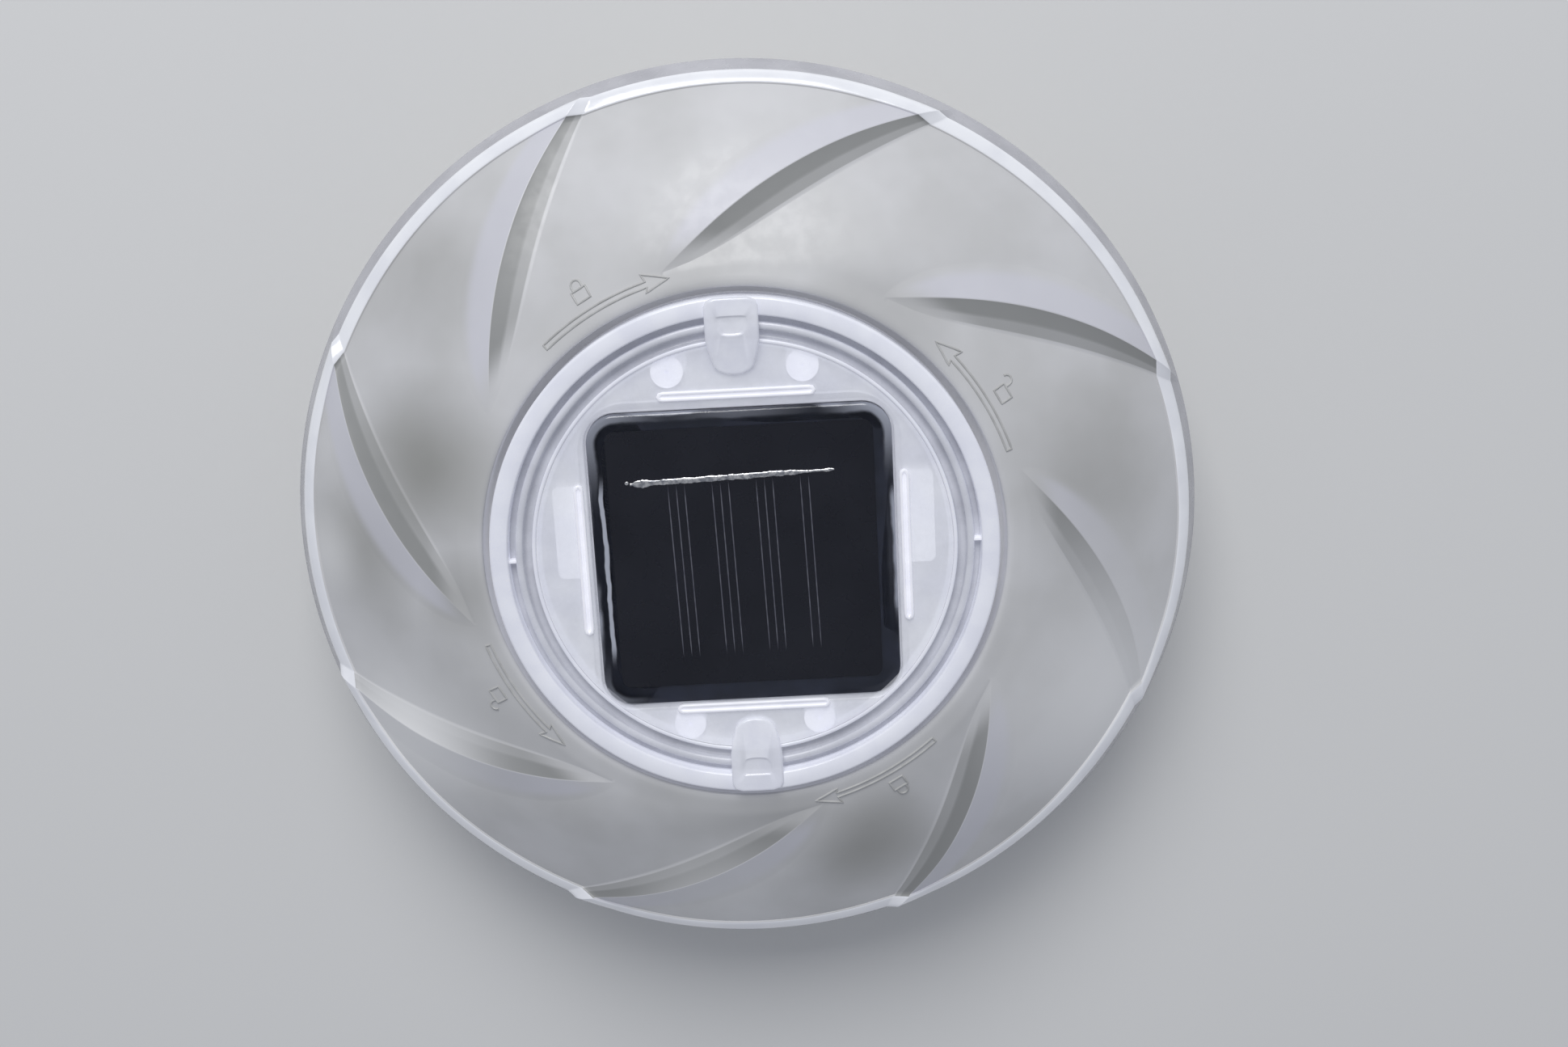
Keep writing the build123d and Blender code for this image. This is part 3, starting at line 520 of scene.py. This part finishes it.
# ------------------------------------------------------------------ float dome
RIM_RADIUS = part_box("float_dome")[1].x / MM
SEAM = node_height("float_hull", 1)
LIP_RADIUS, LIP_TOP = 57.2, 31.7
DOME_LIP = (58.8, LIP_TOP)
DOME_MIDDLE = (79.7, 23.5)
DOME_HEAD = (98.6, 11.4)
FLUTES = 8
FLUTE_PHASE = 13.8
FLUTE_INNER, FLUTE_SPAN = 62.4, 36.2
FLUTE_HEIGHT = 2.4


def circle_through(a, b, c):
    """Centre and radius of the circle through three points."""
    d = 2 * (a[0] * (b[1] - c[1]) + b[0] * (c[1] - a[1]) + c[0] * (a[1] - b[1]))
    sa, sb, sc = (p[0] ** 2 + p[1] ** 2 for p in (a, b, c))
    x = (sa * (b[1] - c[1]) + sb * (c[1] - a[1]) + sc * (a[1] - b[1])) / d
    y = (sa * (c[0] - b[0]) + sb * (a[0] - c[0]) + sc * (b[0] - a[0])) / d
    return (x, y), hypot(a[0] - x, a[1] - y)


DOME_CENTRE, DOME_ARC = circle_through(DOME_LIP, DOME_MIDDLE, DOME_HEAD)


def dome_height(radius):
    """Height of the plain dome at a radius."""
    return DOME_CENTRE[1] + sqrt(DOME_ARC ** 2 - (radius - DOME_CENTRE[0]) ** 2)


def dome_normal(radius):
    """Direction out of the plastic at a radius of the dome, as (radial, up)."""
    return ((radius - DOME_CENTRE[0]) / DOME_ARC, (dome_height(radius) - DOME_CENTRE[1]) / DOME_ARC)


def flute_angles(radius):
    """Angles of the three lines of a flute, from its tip: start of the leaf, ridge, foot of the wall."""
    t = max(0.0, (radius - FLUTE_INNER) / FLUTE_SPAN)
    start = -32.0 * t ** 1.4
    ridge = min(-38.6 * t ** 0.81, start - 0.4)
    foot = min(-40.8 * t ** 0.5, ridge - 0.4)
    return start, ridge, foot


def flute_height(radius):
    """Height of a flute's ridge above the foot of its wall."""
    t = (radius - FLUTE_INNER) / FLUTE_SPAN
    return FLUTE_HEIGHT * (1 - exp(-t / 0.16)) * (1 - 0.35 * smooth((t - 0.7) / 0.3)) if t > 0 else 0.0


# mesh columns across the leaf, the wall and the petal of each flute, as shares of their widths
LEAF = (0.0, 0.03, 0.08, 0.18, 0.3, 0.42, 0.54, 0.66, 0.78, 0.88, 0.95, 0.985)
STEP = (0.0, 0.04, 0.12, 0.28, 0.44, 0.6, 0.76, 0.88, 0.95)
PETAL = tuple([0.0, 0.008, 0.02] + [0.04 + 0.92 * i / 22 for i in range(23)] + [0.98, 0.992])
PETAL_RISE = 0.62  # share of the ridge's height that a petal climbs before its leaf
MEAN_SHARE = 0.4  # share of the ridge's height that lies on the plain dome

# per column: painted light on a flute's leaf, painted shade on its wall and a thin painted highlight at the
# wall's foot
COLUMN_TONES = []  # 1 on a leaf and down to -1 on a wall
for _ in range(FLUTES):
    COLUMN_TONES.extend(smooth(u / 0.5) for u in LEAF)
    COLUMN_TONES.extend(1.0 if u == 0 else -1.0 if u < 0.5 else -0.55 if u < 0.9 else 0.3 for u in STEP)
    COLUMN_TONES.extend(0.0 for _u in PETAL)


def dome_columns(radius):
    """(angle, share of the ridge's height) of each column of the dome's mesh at a radius."""
    start, ridge, foot = flute_angles(radius)
    columns = []
    for flute in range(FLUTES):
        tip = FLUTE_PHASE - 360.0 / FLUTES * flute
        for u in LEAF:
            columns.append((tip + lerp(start, ridge, u), lerp(PETAL_RISE, 1.0, u ** 1.2)))
        for u in STEP:
            columns.append((tip + lerp(ridge, foot, u), 1 - u ** 0.9))
        for u in PETAL:
            columns.append((tip + lerp(foot, start - 360.0 / FLUTES, u), PETAL_RISE * smooth(u)))
    return columns


def dome_row(radius, z, direction=(0.0, 1.0), height=0.0, offset=0.0, plan=None):
    """One ring of the dome. The plan radius sets where its lines are."""
    points = []
    for angle, share in dome_columns(radius if plan is None else plan):
        move = height * (share - MEAN_SHARE) + offset
        points.append(polar(radius + direction[0] * move, angle, z + direction[1] * move))
    return points


def build_dome():
    shape = Shape()
    rows, marks, tones = [], [], []

    def row(radius, z, mark=0, **more):
        rows.append(dome_row(radius, z, **more))
        marks.append(mark)
        strength = smooth((radius - FLUTE_INNER) / 9.0) if more.get("height") else 0.0
        tones.extend(tone * strength for tone in COLUMN_TONES)

    floor, bore, seat = 8.0, 51.5, 24.0
    # the well's rows take the lighter well material: painted light
    for r, z in ((0.5, floor), (15, floor), (35, floor), (bore - 0.8, floor), (bore - 0.25, floor + 0.2),
                 (bore, floor + 0.8), (bore, seat - 0.3), (bore + 0.3, seat), (LIP_RADIUS - 0.3, seat),
                 (LIP_RADIUS, seat + 0.3)):
        row(r, z, 3, plan=60.0)
    for r, z in ((LIP_RADIUS, LIP_TOP - 0.7), (LIP_RADIUS + 0.12, LIP_TOP - 0.25),
                 (LIP_RADIUS + 0.4, LIP_TOP), (LIP_RADIUS + 1.0, LIP_TOP + 0.08)):
        row(r, z, 0, plan=60.0)
    steps = 48
    lip = atan2(DOME_LIP[1] - DOME_CENTRE[1], DOME_LIP[0] - DOME_CENTRE[0])
    head = atan2(DOME_HEAD[1] - DOME_CENTRE[1], DOME_HEAD[0] - DOME_CENTRE[0])
    arc_radii = [DOME_CENTRE[0] + DOME_ARC * cos(lerp(lip, head, i / steps)) for i in range(steps + 1)]
    for r in arc_radii:
        row(r, dome_height(r), direction=dome_normal(r), height=flute_height(r))
    rim_height = flute_height(DOME_HEAD[0])
    bead = ((98.75, 11.5), (98.95, 11.58), (99.3, 11.5), (99.8, 11.25), (100.4, 10.92), (101.0, 10.5),
            (101.4, 10.1), (101.7, 9.5), (102.1, 8.5), (102.7, 7.1), (103.4, 5.6), (103.9, 4.7),
            (RIM_RADIUS, 4.2))
    for i, (r, z) in enumerate(bead):
        fade = 1.0 - smooth((i - 3) / (len(bead) - 4))
        # bead rows 1 to 6 take the near-white rim: a painted highlight
        mark = 0 if i < 1 else 1 if i < 7 else 2
        row(r, z, mark, direction=dome_normal(DOME_HEAD[0]), height=rim_height * fade)
    seam = SEAM + 0.12
    row(RIM_RADIUS, seam + 0.25, 2)
    row(RIM_RADIUS - 0.25, seam, 2)
    row(RIM_RADIUS - 1.8, seam, 2)
    row(RIM_RADIUS - 1.8, seam + 2.6, 2)
    row(RIM_RADIUS - 3.4, seam + 5.4, 2)
    wall = 1.4
    for r in reversed(arc_radii):
        row(r, dome_height(r), 0, direction=dome_normal(r), height=flute_height(r), offset=-wall)
    for r, z in ((LIP_RADIUS + 1.6, seat - 1.6), (bore + 1.8, seat - 1.6), (bore + 1.8, floor - 1.4),
                 (bore + 1.0, floor - 1.8), (0.5, floor - 1.8)):
        row(r, z, plan=60.0)
    rings = shape.stack(rows, marks[:-1])
    shape.cap(rings[0], flip=True)
    shape.cap(rings[-1])
    shape.tones = tones + [0.0, 0.0]
    # bayonet lugs on the well wall
    for k in range(4):
        middle = 15.0 + 90 * k
        lug = ((49.2, 14.7), (49.4, 14.5), (51.9, 14.5), (51.9, 17.0), (49.4, 17.0), (49.2, 16.8))
        shape.merge(arc_block(lug, middle - 14, middle + 14))
        stop = ((49.2, 10.5), (51.9, 10.5), (51.9, 15.5), (49.2, 15.5))
        shape.merge(arc_block(stop, middle - 14, middle - 10.6))
    shape.tones += [0.0] * (len(shape.points) - len(shape.tones))
    return shape


def arc_block(profile, start, stop):
    part = Shape()
    part.revolve(profile, count=14, start=start, stop=stop)
    return part


build_dome().make("dome_shell", [MAT["dome"], MAT["rim"], MAT["rim_side"], MAT["well"]],
                  "float", "frosted_float", ["float_dome"], sharp=60)


# ------------------------------------------------------------------ raised marks on the dome
def on_dome(radius, angle, lift):
    """Point above the fluted dome."""
    columns = sorted(((angle - a) % 360.0, share) for a, share in dome_columns(radius))
    share = (columns[0][1] + columns[-1][1]) / 2
    move = flute_height(radius) * (share - MEAN_SHARE) + lift
    normal = dome_normal(radius)
    return polar(radius + normal[0] * move, angle, dome_height(radius) + normal[1] * move)


def raised_line(path, width=0.5, height=0.28, closed=False):
    """Rounded raised line on the dome along (radius, angle) points."""
    fine = []
    pairs = list(zip(path, path[1:] + path[:1])) if closed else list(zip(path, path[1:]))
    for (r0, a0), (r1, a1) in pairs:
        length = hypot(r1 - r0, radians(a1 - a0) * (r0 + r1) / 2)
        count = max(1, int(length / 0.8))
        fine.extend((lerp(r0, r1, i / count), lerp(a0, a1, i / count)) for i in range(count))
    if not closed:
        fine.append(path[-1])
    part = Shape()
    section = ((-0.5, -0.12), (-0.42, 0.55), (-0.22, 0.95), (0.22, 0.95), (0.42, 0.55), (0.5, -0.12))
    loops = []
    total = len(fine)
    for i, (r, a) in enumerate(fine):
        before = fine[(i - 1) % total] if closed or i else fine[i]
        after = fine[(i + 1) % total] if closed or i < total - 1 else fine[i]
        dr, da = after[0] - before[0], radians(after[1] - before[1]) * r
        size = hypot(dr, da) or 1.0
        across_r, across_a = -da / size, dr / size
        loops.append([on_dome(r + across_r * width * s, a + degrees(across_a * width * s / r), height * h)
                      for s, h in section])
    rings = [part.loop(points) for points in loops]
    for i in range(total if closed else total - 1):
        part.bridge(rings[i], rings[(i + 1) % total])
    if not closed:
        part.faces.append(tuple(rings[0]))
        part.faces.append(tuple(reversed(rings[-1])))
        part.marks.extend([0, 0])
    return part


def arrow(tip, turn, tail):
    """Outline arrow round the well. turn is +1 if it points counter-clockwise."""
    base = tip - 5.2 * turn
    return [(61.0, tip), (63.4, base), (61.7, base + 0.5 * turn), (61.7, tail), (60.5, tail),
            (60.5, base + 0.5 * turn), (59.4, base)]


def padlock(angle, radius, opened):
    """Plain padlock outline: a body and a shackle, as (radius, angle) lines."""
    per_mm = degrees(1.0 / radius)
    body = [(radius - 1.4, angle - 1.7 * per_mm), (radius + 1.2, angle - 1.7 * per_mm),
            (radius + 1.2, angle + 1.7 * per_mm), (radius - 1.4, angle + 1.7 * per_mm)]
    shift = 1.9 if opened else 0.0
    shackle = [(radius + 1.2, angle + (-1.1 + shift) * per_mm)]
    for i in range(7):
        t = radians(180 * i / 6)
        shackle.append((radius + 2.2 + 1.1 * sin(t), angle + (shift - 1.1 * cos(t)) * per_mm))
    if not opened:
        shackle.append((radius + 1.2, angle + 1.1 * per_mm))
    return body, shackle


marks_shape = Shape()
for tip, turn, tail, lock_at, opened in (
    (45.2, 1, 18.2, 28.6, True), (225.2, 1, 198.2, 208.6, True),
    (-78.0, -1, -49.3, -61.0, False), (102.0, -1, 130.7, 119.0, False),
):
    marks_shape.merge(raised_line(arrow(tip, turn, tail), closed=True))
    lock_body, shackle = padlock(lock_at, 65.2, opened)
    marks_shape.merge(raised_line(lock_body, closed=True))
    marks_shape.merge(raised_line(shackle))
marks_shape.make("dome_marks", [MAT["mark"]], "float", "frosted_float", sharp=50)

# ------------------------------------------------------------------ float hull
FOOT_OUTER, FOOT_INNER = 58.0, 45.0
FOOT = -RAISE
BELLY = ((FOOT_OUTER, FOOT), (84.9, -22.3), (RIM_RADIUS, -1.0))


def build_hull():
    shape = Shape()
    wall = 2.0
    centre, reach = circle_through(*BELLY)
    start = atan2(BELLY[0][1] - centre[1], BELLY[0][0] - centre[0])
    stop = atan2(BELLY[2][1] - centre[1], BELLY[2][0] - centre[0])

    def belly(inset, first, last, steps):
        turns = [lerp(start, stop, lerp(first, last, i / steps)) for i in range(steps + 1)]
        return [(centre[0] + (reach - inset) * cos(a), centre[1] + (reach - inset) * sin(a)) for a in turns]

    profile = [(0.5, FOOT + 1.2), (20, FOOT + 1.2), (FOOT_INNER - 1.6, FOOT + 1.2),
               (FOOT_INNER - 0.9, FOOT + 0.9), (FOOT_INNER - 0.3, FOOT + 0.25), (FOOT_INNER + 0.6, FOOT),
               (FOOT_OUTER - 1.2, FOOT), (FOOT_OUTER - 0.3, FOOT + 0.12)]
    profile += belly(0.0, 0.02, 1.0, 44)
    profile += [(RIM_RADIUS, SEAM - 0.5), (RIM_RADIUS - 0.1, SEAM - 0.2), (RIM_RADIUS - 0.35, SEAM),
                (RIM_RADIUS - wall, SEAM)]
    profile += belly(wall, 1.0, 0.04, 24)
    profile += [(FOOT_INNER, FOOT + 3.2), (0.5, FOOT + 3.2)]
    rings = shape.revolve(profile, count=256, torus=False)
    shape.cap(rings[0])
    shape.cap(rings[-1], flip=True)
    return shape


build_hull().make("hull_shell", [MAT["hull"]], "float", "frosted_float", ["float_hull"], sharp=50)

# ------------------------------------------------------------------ lid of the lamp unit
DISC_TOP = 32.0
PANEL_LOW, PANEL_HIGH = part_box("solar_board")
PANEL_SIDE = (PANEL_HIGH.x - PANEL_LOW.x) / MM
PANEL_Y = (PANEL_HIGH.y + PANEL_LOW.y) / 2 / MM
POCKET = PANEL_SIDE + 0.8
POCKET_FLOOR = node_height("panel_pad", 0)
RING_RADIUS = 55.5
GROOVE = 30.4

# marks: 0 disc, 1 groove (painted shade), 2 band, 3 grip, 4 boss, 5 ridge
ring_profile = [
    ((44.6, 29.8), 0), ((45.2, 31.9), 0), ((45.45, 32.0), 0), ((45.55, 32.3), 2), ((45.75, 32.42), 2),
    ((46.15, 32.42), 2), ((46.35, 32.3), 1), ((46.42, 32.0), 1), ((46.42, 30.7), 1), ((46.7, GROOVE), 1),
    ((48.1, GROOVE), 1), ((48.38, 30.7), 1), ((48.4, 32.3), 5), ((48.6, 32.58), 5), ((49.2, 32.66), 5),
    ((49.8, 32.58), 5), ((50.0, 32.3), 1), ((50.02, 30.7), 1), ((50.25, GROOVE), 1), ((51.25, GROOVE), 1),
    ((51.5, 30.7), 2), ((51.5, 33.5), 2), ((51.6, 33.85), 2), ((51.9, 34.0), 2), ((53.3, 34.04), 2),
    ((54.9, 34.0), 2), ((55.3, 33.85), 2), ((RING_RADIUS, 33.4), 2), ((RING_RADIUS, 31.65), 1),
    ((55.25, 31.5), 1), ((55.25, 31.3), 1), ((RING_RADIUS, 31.15), 2), ((RING_RADIUS, 29.45), 1),
    ((55.25, 29.3), 1), ((55.25, 29.1), 1), ((RING_RADIUS, 28.95), 2), ((RING_RADIUS, 26.9), 2),
    ((55.3, 26.6), 2), ((52.0, 26.6), 2), ((52.0, 27.8), 2), ((46.6, 27.8), 0),
]
lid = Shape()
lid.revolve([p for p, _ in ring_profile], count=300, marks=[m for _, m in ring_profile])


def build_disc():
    """Disc with the square pocket for the panel."""
    shape = Shape()
    count = 240

    def square(side, corner, z):
        return [(x, y, z) for x, y in rounded_rectangle(side, side, corner, count, 0.0, PANEL_Y)]

    def blend(t, z):
        """Ring between the pocket's outline and the disc's edge."""
        inner = rounded_rectangle(POCKET + 0.7, POCKET + 0.7, 7.2, count, 0.0, PANEL_Y)
        points = []
        for x, y in inner:
            angle = degrees(atan2(y, x))
            ox, oy = polar(45.45, angle)
            points.append((lerp(x, ox, t), lerp(y, oy, t), z))
        return points

    loops = [blend(1.0, DISC_TOP - 2.2), blend(1.0, DISC_TOP), blend(0.5, DISC_TOP), blend(0.0, DISC_TOP),
             square(POCKET + 0.25, 7.0, DISC_TOP - 0.12), square(POCKET, 6.9, DISC_TOP - 0.4),
             square(POCKET, 6.9, POCKET_FLOOR), square(POCKET * 0.5, 3.5, POCKET_FLOOR),
             square(4.0, 0.5, POCKET_FLOOR)]
    rings = shape.stack(loops)
    shape.cap(rings[-1])
    under = [blend(1.0, DISC_TOP - 2.2), square(POCKET + 3.2, 10.5, DISC_TOP - 2.2),
             square(POCKET + 3.2, 10.5, POCKET_FLOOR - 1.4), square(4.0, 0.5, POCKET_FLOOR - 1.4)]
    low = shape.stack(under)
    shape.cap(low[-1], flip=True)
    return shape


lid.merge(build_disc())


def marked(shape, mark):
    shape.marks = [mark] * len(shape.marks)
    return shape


# locating ribs round the pocket: a rounded bar with a hollow along its top
for side in range(4):
    length, width = 34.0, 2.1
    far = PANEL_SIDE / 2 + 2.2
    cx, cy = ((far, 0), (0, far), (-far, 0), (0, -far))[side]
    w, h = (width, length) if side % 2 == 0 else (length, width)
    bar = Shape()
    loops = []
    for inset, z in ((0, 31.9), (0, 32.5), (0.12, 32.66), (0.35, 32.72), (0.55, 32.66), (0.65, 32.4),
                     (0.7, 32.25)):
        loops.append([(x, y, z) for x, y in rounded_rectangle(
            w - 2 * inset, h - 2 * inset, width / 2 - inset, 72, cx, cy + PANEL_Y + 1.2)])
    rings = bar.stack(loops)
    bar.cap(rings[-1])
    bar.cap(rings[0], flip=True)
    lid.merge(marked(bar, 4))

# ties across the outer groove
for x in (50.75, -50.75):
    lid.merge(marked(rounded_block(1.7, 0.7, 0.1, GROOVE - 0.1, 32.6, 0.15, x, 0.0, 24), 4))

# screw bosses under the disc
BOSS_X, BOSS_Y = 14.5, 39.8
for x in (-BOSS_X, BOSS_X):
    for y in (-BOSS_Y, BOSS_Y):
        part = Shape()
        profile = ((1.45, 16.1), (1.45, 25.5), (0.4, 26.0), (0.4, 31.2),
                   (3.5, 31.2), (3.5, 16.4), (3.2, 16.1))
        part.revolve(profile, count=40)
        part.points = [(px + x, py + y, pz) for px, py, pz in part.points]
        lid.merge(marked(part, 4))


def grip_tongue(side):
    """Finger grip across the ring: broad at the rim, rounded and lower at its inner end."""
    shape = Shape()
    outline = []
    half = 5.75
    for i in range(9):
        a = radians(180 * i / 8)
        outline.append((4.6 * cos(a), -(41.6 - 3.0 * sin(a))))
    outline += [(-5.2, -43.6), (-half, -46.5), (-half, -50.0), (-half, -53.4), (-5.2, -54.7), (-3.6, -55.25),
                (0.0, -55.35), (3.6, -55.25), (5.2, -54.7), (half, -53.4), (half, -50.0), (half, -46.5),
                (5.2, -43.6)]
    centre = (0.0, -48.0)

    def top(y):
        return lerp(32.9, 34.75, smooth((-y - 38.6) / 7.0))

    loops = []
    for inset, drop in ((0.0, None), (0.0, 0.55), (0.12, 0.2), (0.4, 0.03), (0.8, 0.0)):
        points = []
        for x, y in outline:
            gap = hypot(x - centre[0], y - centre[1])
            k = (gap - inset) / gap
            px, py = centre[0] + (x - centre[0]) * k, centre[1] + (y - centre[1]) * k
            points.append((px, py, GROOVE - 0.2 if drop is None else top(y) - drop))
        loops.append(points)
    # finger recess
    for scale, drop in ((0.62, 0.02), (0.56, 0.28), (0.45, 0.42)):
        points = []
        for x, y in outline:
            px, py = x * scale, -49.6 + (y + 48.0) * scale * 0.42
            points.append((px, py, top(py) - drop))
        loops.append(points)
    rings = shape.stack(loops)
    shape.cap(rings[-1])
    shape.cap(rings[0], flip=True)
    if side > 0:
        shape.points = [(-x, -y, z) for x, y, z in shape.points]
    return marked(shape, 3)


for side in (-1, 1):
    lid.merge(grip_tongue(side))

lid.make("lid_shell", [MAT["disc"], MAT["groove"], MAT["band"], MAT["grip"], MAT["boss"], MAT["ridge"]],
         "lamp", "clear_lid", ["lid"], sharp=50)

# ------------------------------------------------------------------ panel: ribbon, fingers, resin
CELL_FACE = node_height("solar_cell", 1)
RIBBON_LOW, RIBBON_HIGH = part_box("cell_ribbon")
RIBBON_Y = (RIBBON_LOW.y + RIBBON_HIGH.y) / 2 / MM
CELL_TILT = 1.5  # degrees that the cell's lines are turned on the panel


def tilted(x, y):
    """Point turned with the slightly askew cell."""
    a = radians(CELL_TILT)
    return (x * cos(a) - y * sin(a), x * sin(a) + y * cos(a))


def build_ribbon():
    """Hand-soldered ribbon: uneven in width and height, with a blob at each end."""
    shape = Shape()
    low, high = RIBBON_LOW.x / MM, RIBBON_HIGH.x / MM
    steps = 150
    loops = []
    for i in range(steps + 1):
        t = i / steps
        x = lerp(low, high, t)
        bump = noise.noise(Vector((x * 0.9, 3.1, 0.4)))
        fine = noise.noise(Vector((x * 3.1, 7.7, 1.9)))
        wide = 0.62 + 0.18 * bump + 0.14 * fine
        if t > 0.80:
            wide *= lerp(1.0, 0.5, smooth((t - 0.80) / 0.06))
        if t > 0.955 or 0.018 < t < 0.09:
            wide *= 1.35
        if t < 0.015 or t > 0.992:
            wide *= 0.55
        tall = 0.22 + 0.10 * bump + 0.08 * fine
        drift = 0.16 * noise.noise(Vector((x * 0.35, 1.0, 8.0)))
        section = []
        for k in range(10):
            a = radians(180 * k / 9)
            px, py = tilted(x, RIBBON_Y + drift + wide * cos(a))
            section.append((px, py, CELL_FACE - 0.02 + max(0.05, tall) * sin(a)))
        loops.append(section)
    rings = [shape.loop(points) for points in loops]
    for a, b in zip(rings, rings[1:]):
        shape.bridge(a, b)
    shape.faces.append(tuple(rings[0]))
    shape.faces.append(tuple(reversed(rings[-1])))
    shape.marks.extend([0, 0])
    dot = rod(0.45, CELL_FACE - 0.02, CELL_FACE + 0.25, *tilted(low - 0.7, RIBBON_Y + 0.35), 0.2, 20)
    shape.merge(dot)
    return shape


build_ribbon().make("solder_ribbon", [MAT["solder"]], "lamp", "solder", ["cell_ribbon"], sharp=70)

FINGER_TOP = RIBBON_Y - 0.45
FINGER_LENGTH = (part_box("cell_fingers")[1].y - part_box("cell_fingers")[0].y) / MM
fingers = Shape()
for group, group_x in enumerate((-13.8, -4.2, 5.4, 15.0)):
    for line in range(2 if group == 3 else 3):
        x = group_x + (line - 1) * 1.8
        bar = rounded_block(0.24, FINGER_LENGTH - 0.6, 0.1, CELL_FACE - 0.02, CELL_FACE + 0.05, 0.03,
                            x, FINGER_TOP - FINGER_LENGTH / 2, 24)
        bar.points = [(*tilted(px, py), pz) for px, py, pz in bar.points]
        fingers.merge(bar)
fingers.make("cell_lines", [MAT["finger"]], "lamp", "silver_line", ["cell_fingers"], sharp=60)

BOARD_FACE = node_height("panel_resin", 0)
RESIN_TOP = node_height("panel_resin", 1)
PANEL_CORNER = 6.5


def build_resin():
    """Poured resin: a rounded bead at the edge that wanders a little."""
    shape = Shape()
    count = 256
    side = PANEL_SIDE
    loops = []
    for inset, z in ((0.05, BOARD_FACE), (0.0, BOARD_FACE + 0.4), (0.02, RESIN_TOP - 0.7),
                     (0.15, RESIN_TOP - 0.35), (0.42, RESIN_TOP - 0.1), (0.85, RESIN_TOP),
                     (1.4, RESIN_TOP - 0.04), (2.2, RESIN_TOP - 0.16), (3.4, RESIN_TOP - 0.2),
                     (10.0, RESIN_TOP - 0.2), (22.0, RESIN_TOP - 0.2)):
        corner = max(0.6, PANEL_CORNER - inset * 0.8)
        ring = rounded_rectangle(side - 2 * inset, side - 2 * inset, corner, count, 0.0, PANEL_Y)
        points = []
        for x, y in ring:
            wander = noise.noise(Vector((x * 0.11, y * 0.11, 2.5))) * 0.14 * min(1.0, inset)
            k = 1 - wander / (side / 2)
            points.append((x * k, (y - PANEL_Y) * k + PANEL_Y, z))
        loops.append(points)
    rings = shape.stack(loops)
    shape.cap(rings[-1])
    shape.cap(rings[0], flip=True)
    return shape


MAT["resin"] = resin(PANEL_SIDE / 2, PANEL_CORNER, PANEL_Y)
build_resin().make("resin_cover", [MAT["resin"]], "lamp", "clear_resin", ["panel_resin"], sharp=60)

# ------------------------------------------------------------------ floor, light and camera
floor_look = Look("studio_floor", Specular_IOR_Level=0.2)
floor_look.colour(floor_look.mix(floor_look.noise(3.0, 2.0), (0.80, 0.80, 0.79), (0.84, 0.84, 0.83)))
floor_look.rough(floor_look.ramp(floor_look.noise(8.0, 2.0), 0.3, 0.7, 0.7, 0.85))
floor_mesh = bpy.data.meshes.new("floor")
half_floor = 3.0
floor_mesh.from_pydata([(-half_floor, -half_floor, 0), (half_floor, -half_floor, 0),
                        (half_floor, half_floor, 0), (-half_floor, half_floor, 0)], [], [(0, 1, 2, 3)])
floor_mesh.materials.append(floor_look.material)
floor = bpy.data.objects.new("floor", floor_mesh)
bpy.context.scene.collection.objects.link(floor)

world = bpy.data.worlds.new("studio")
bpy.context.scene.world = world
world.use_nodes = True
world.node_tree.nodes["Background"].inputs["Color"].default_value = (0.86, 0.90, 1.0, 1.0)
world.node_tree.nodes["Background"].inputs["Strength"].default_value = 0.35


def soft_light(name, place, target, size, power):
    """Square area light, aimed at a point."""
    data = bpy.data.lights.new(name, "AREA")
    data.shape = "SQUARE"
    data.size = size
    data.energy = power
    lamp = bpy.data.objects.new(name, data)
    lamp.location = place
    lamp.rotation_euler = (Vector(target) - Vector(place)).to_track_quat("-Z", "Y").to_euler()
    bpy.context.scene.collection.objects.link(lamp)


soft_light("key", (-0.08, 1.05, 1.06), (0, 0, 0.05), 0.8, 12.0)

TILT, AZIMUTH = 14.02, -2.97  # lean past the vertical, towards +Y, and turn
AIM, DISTANCE = (8.45, -1.36, 4.55), 414.1
right = Vector((cos(radians(AZIMUTH)), sin(radians(AZIMUTH)), 0))
ahead = Vector((-sin(radians(AZIMUTH)), cos(radians(AZIMUTH)), 0))
aim = Vector((AIM[0], AIM[1], AIM[2] + RAISE)) * MM
gaze = -ahead * sin(radians(TILT)) - Vector((0, 0, cos(radians(TILT))))
camera_data = bpy.data.cameras.new("camera")
camera_data.sensor_width = 36.0
camera_data.lens = 40.8
camera_data.clip_start, camera_data.clip_end = 0.05, 20.0
camera = bpy.data.objects.new("camera", camera_data)
camera.location = aim - gaze * (DISTANCE * MM)
camera.rotation_euler = Matrix((right, right.cross(gaze), -gaze)).transposed().to_euler()
bpy.context.scene.collection.objects.link(camera)
bpy.context.scene.camera = camera
bpy.context.scene.view_settings.view_transform = "Standard"
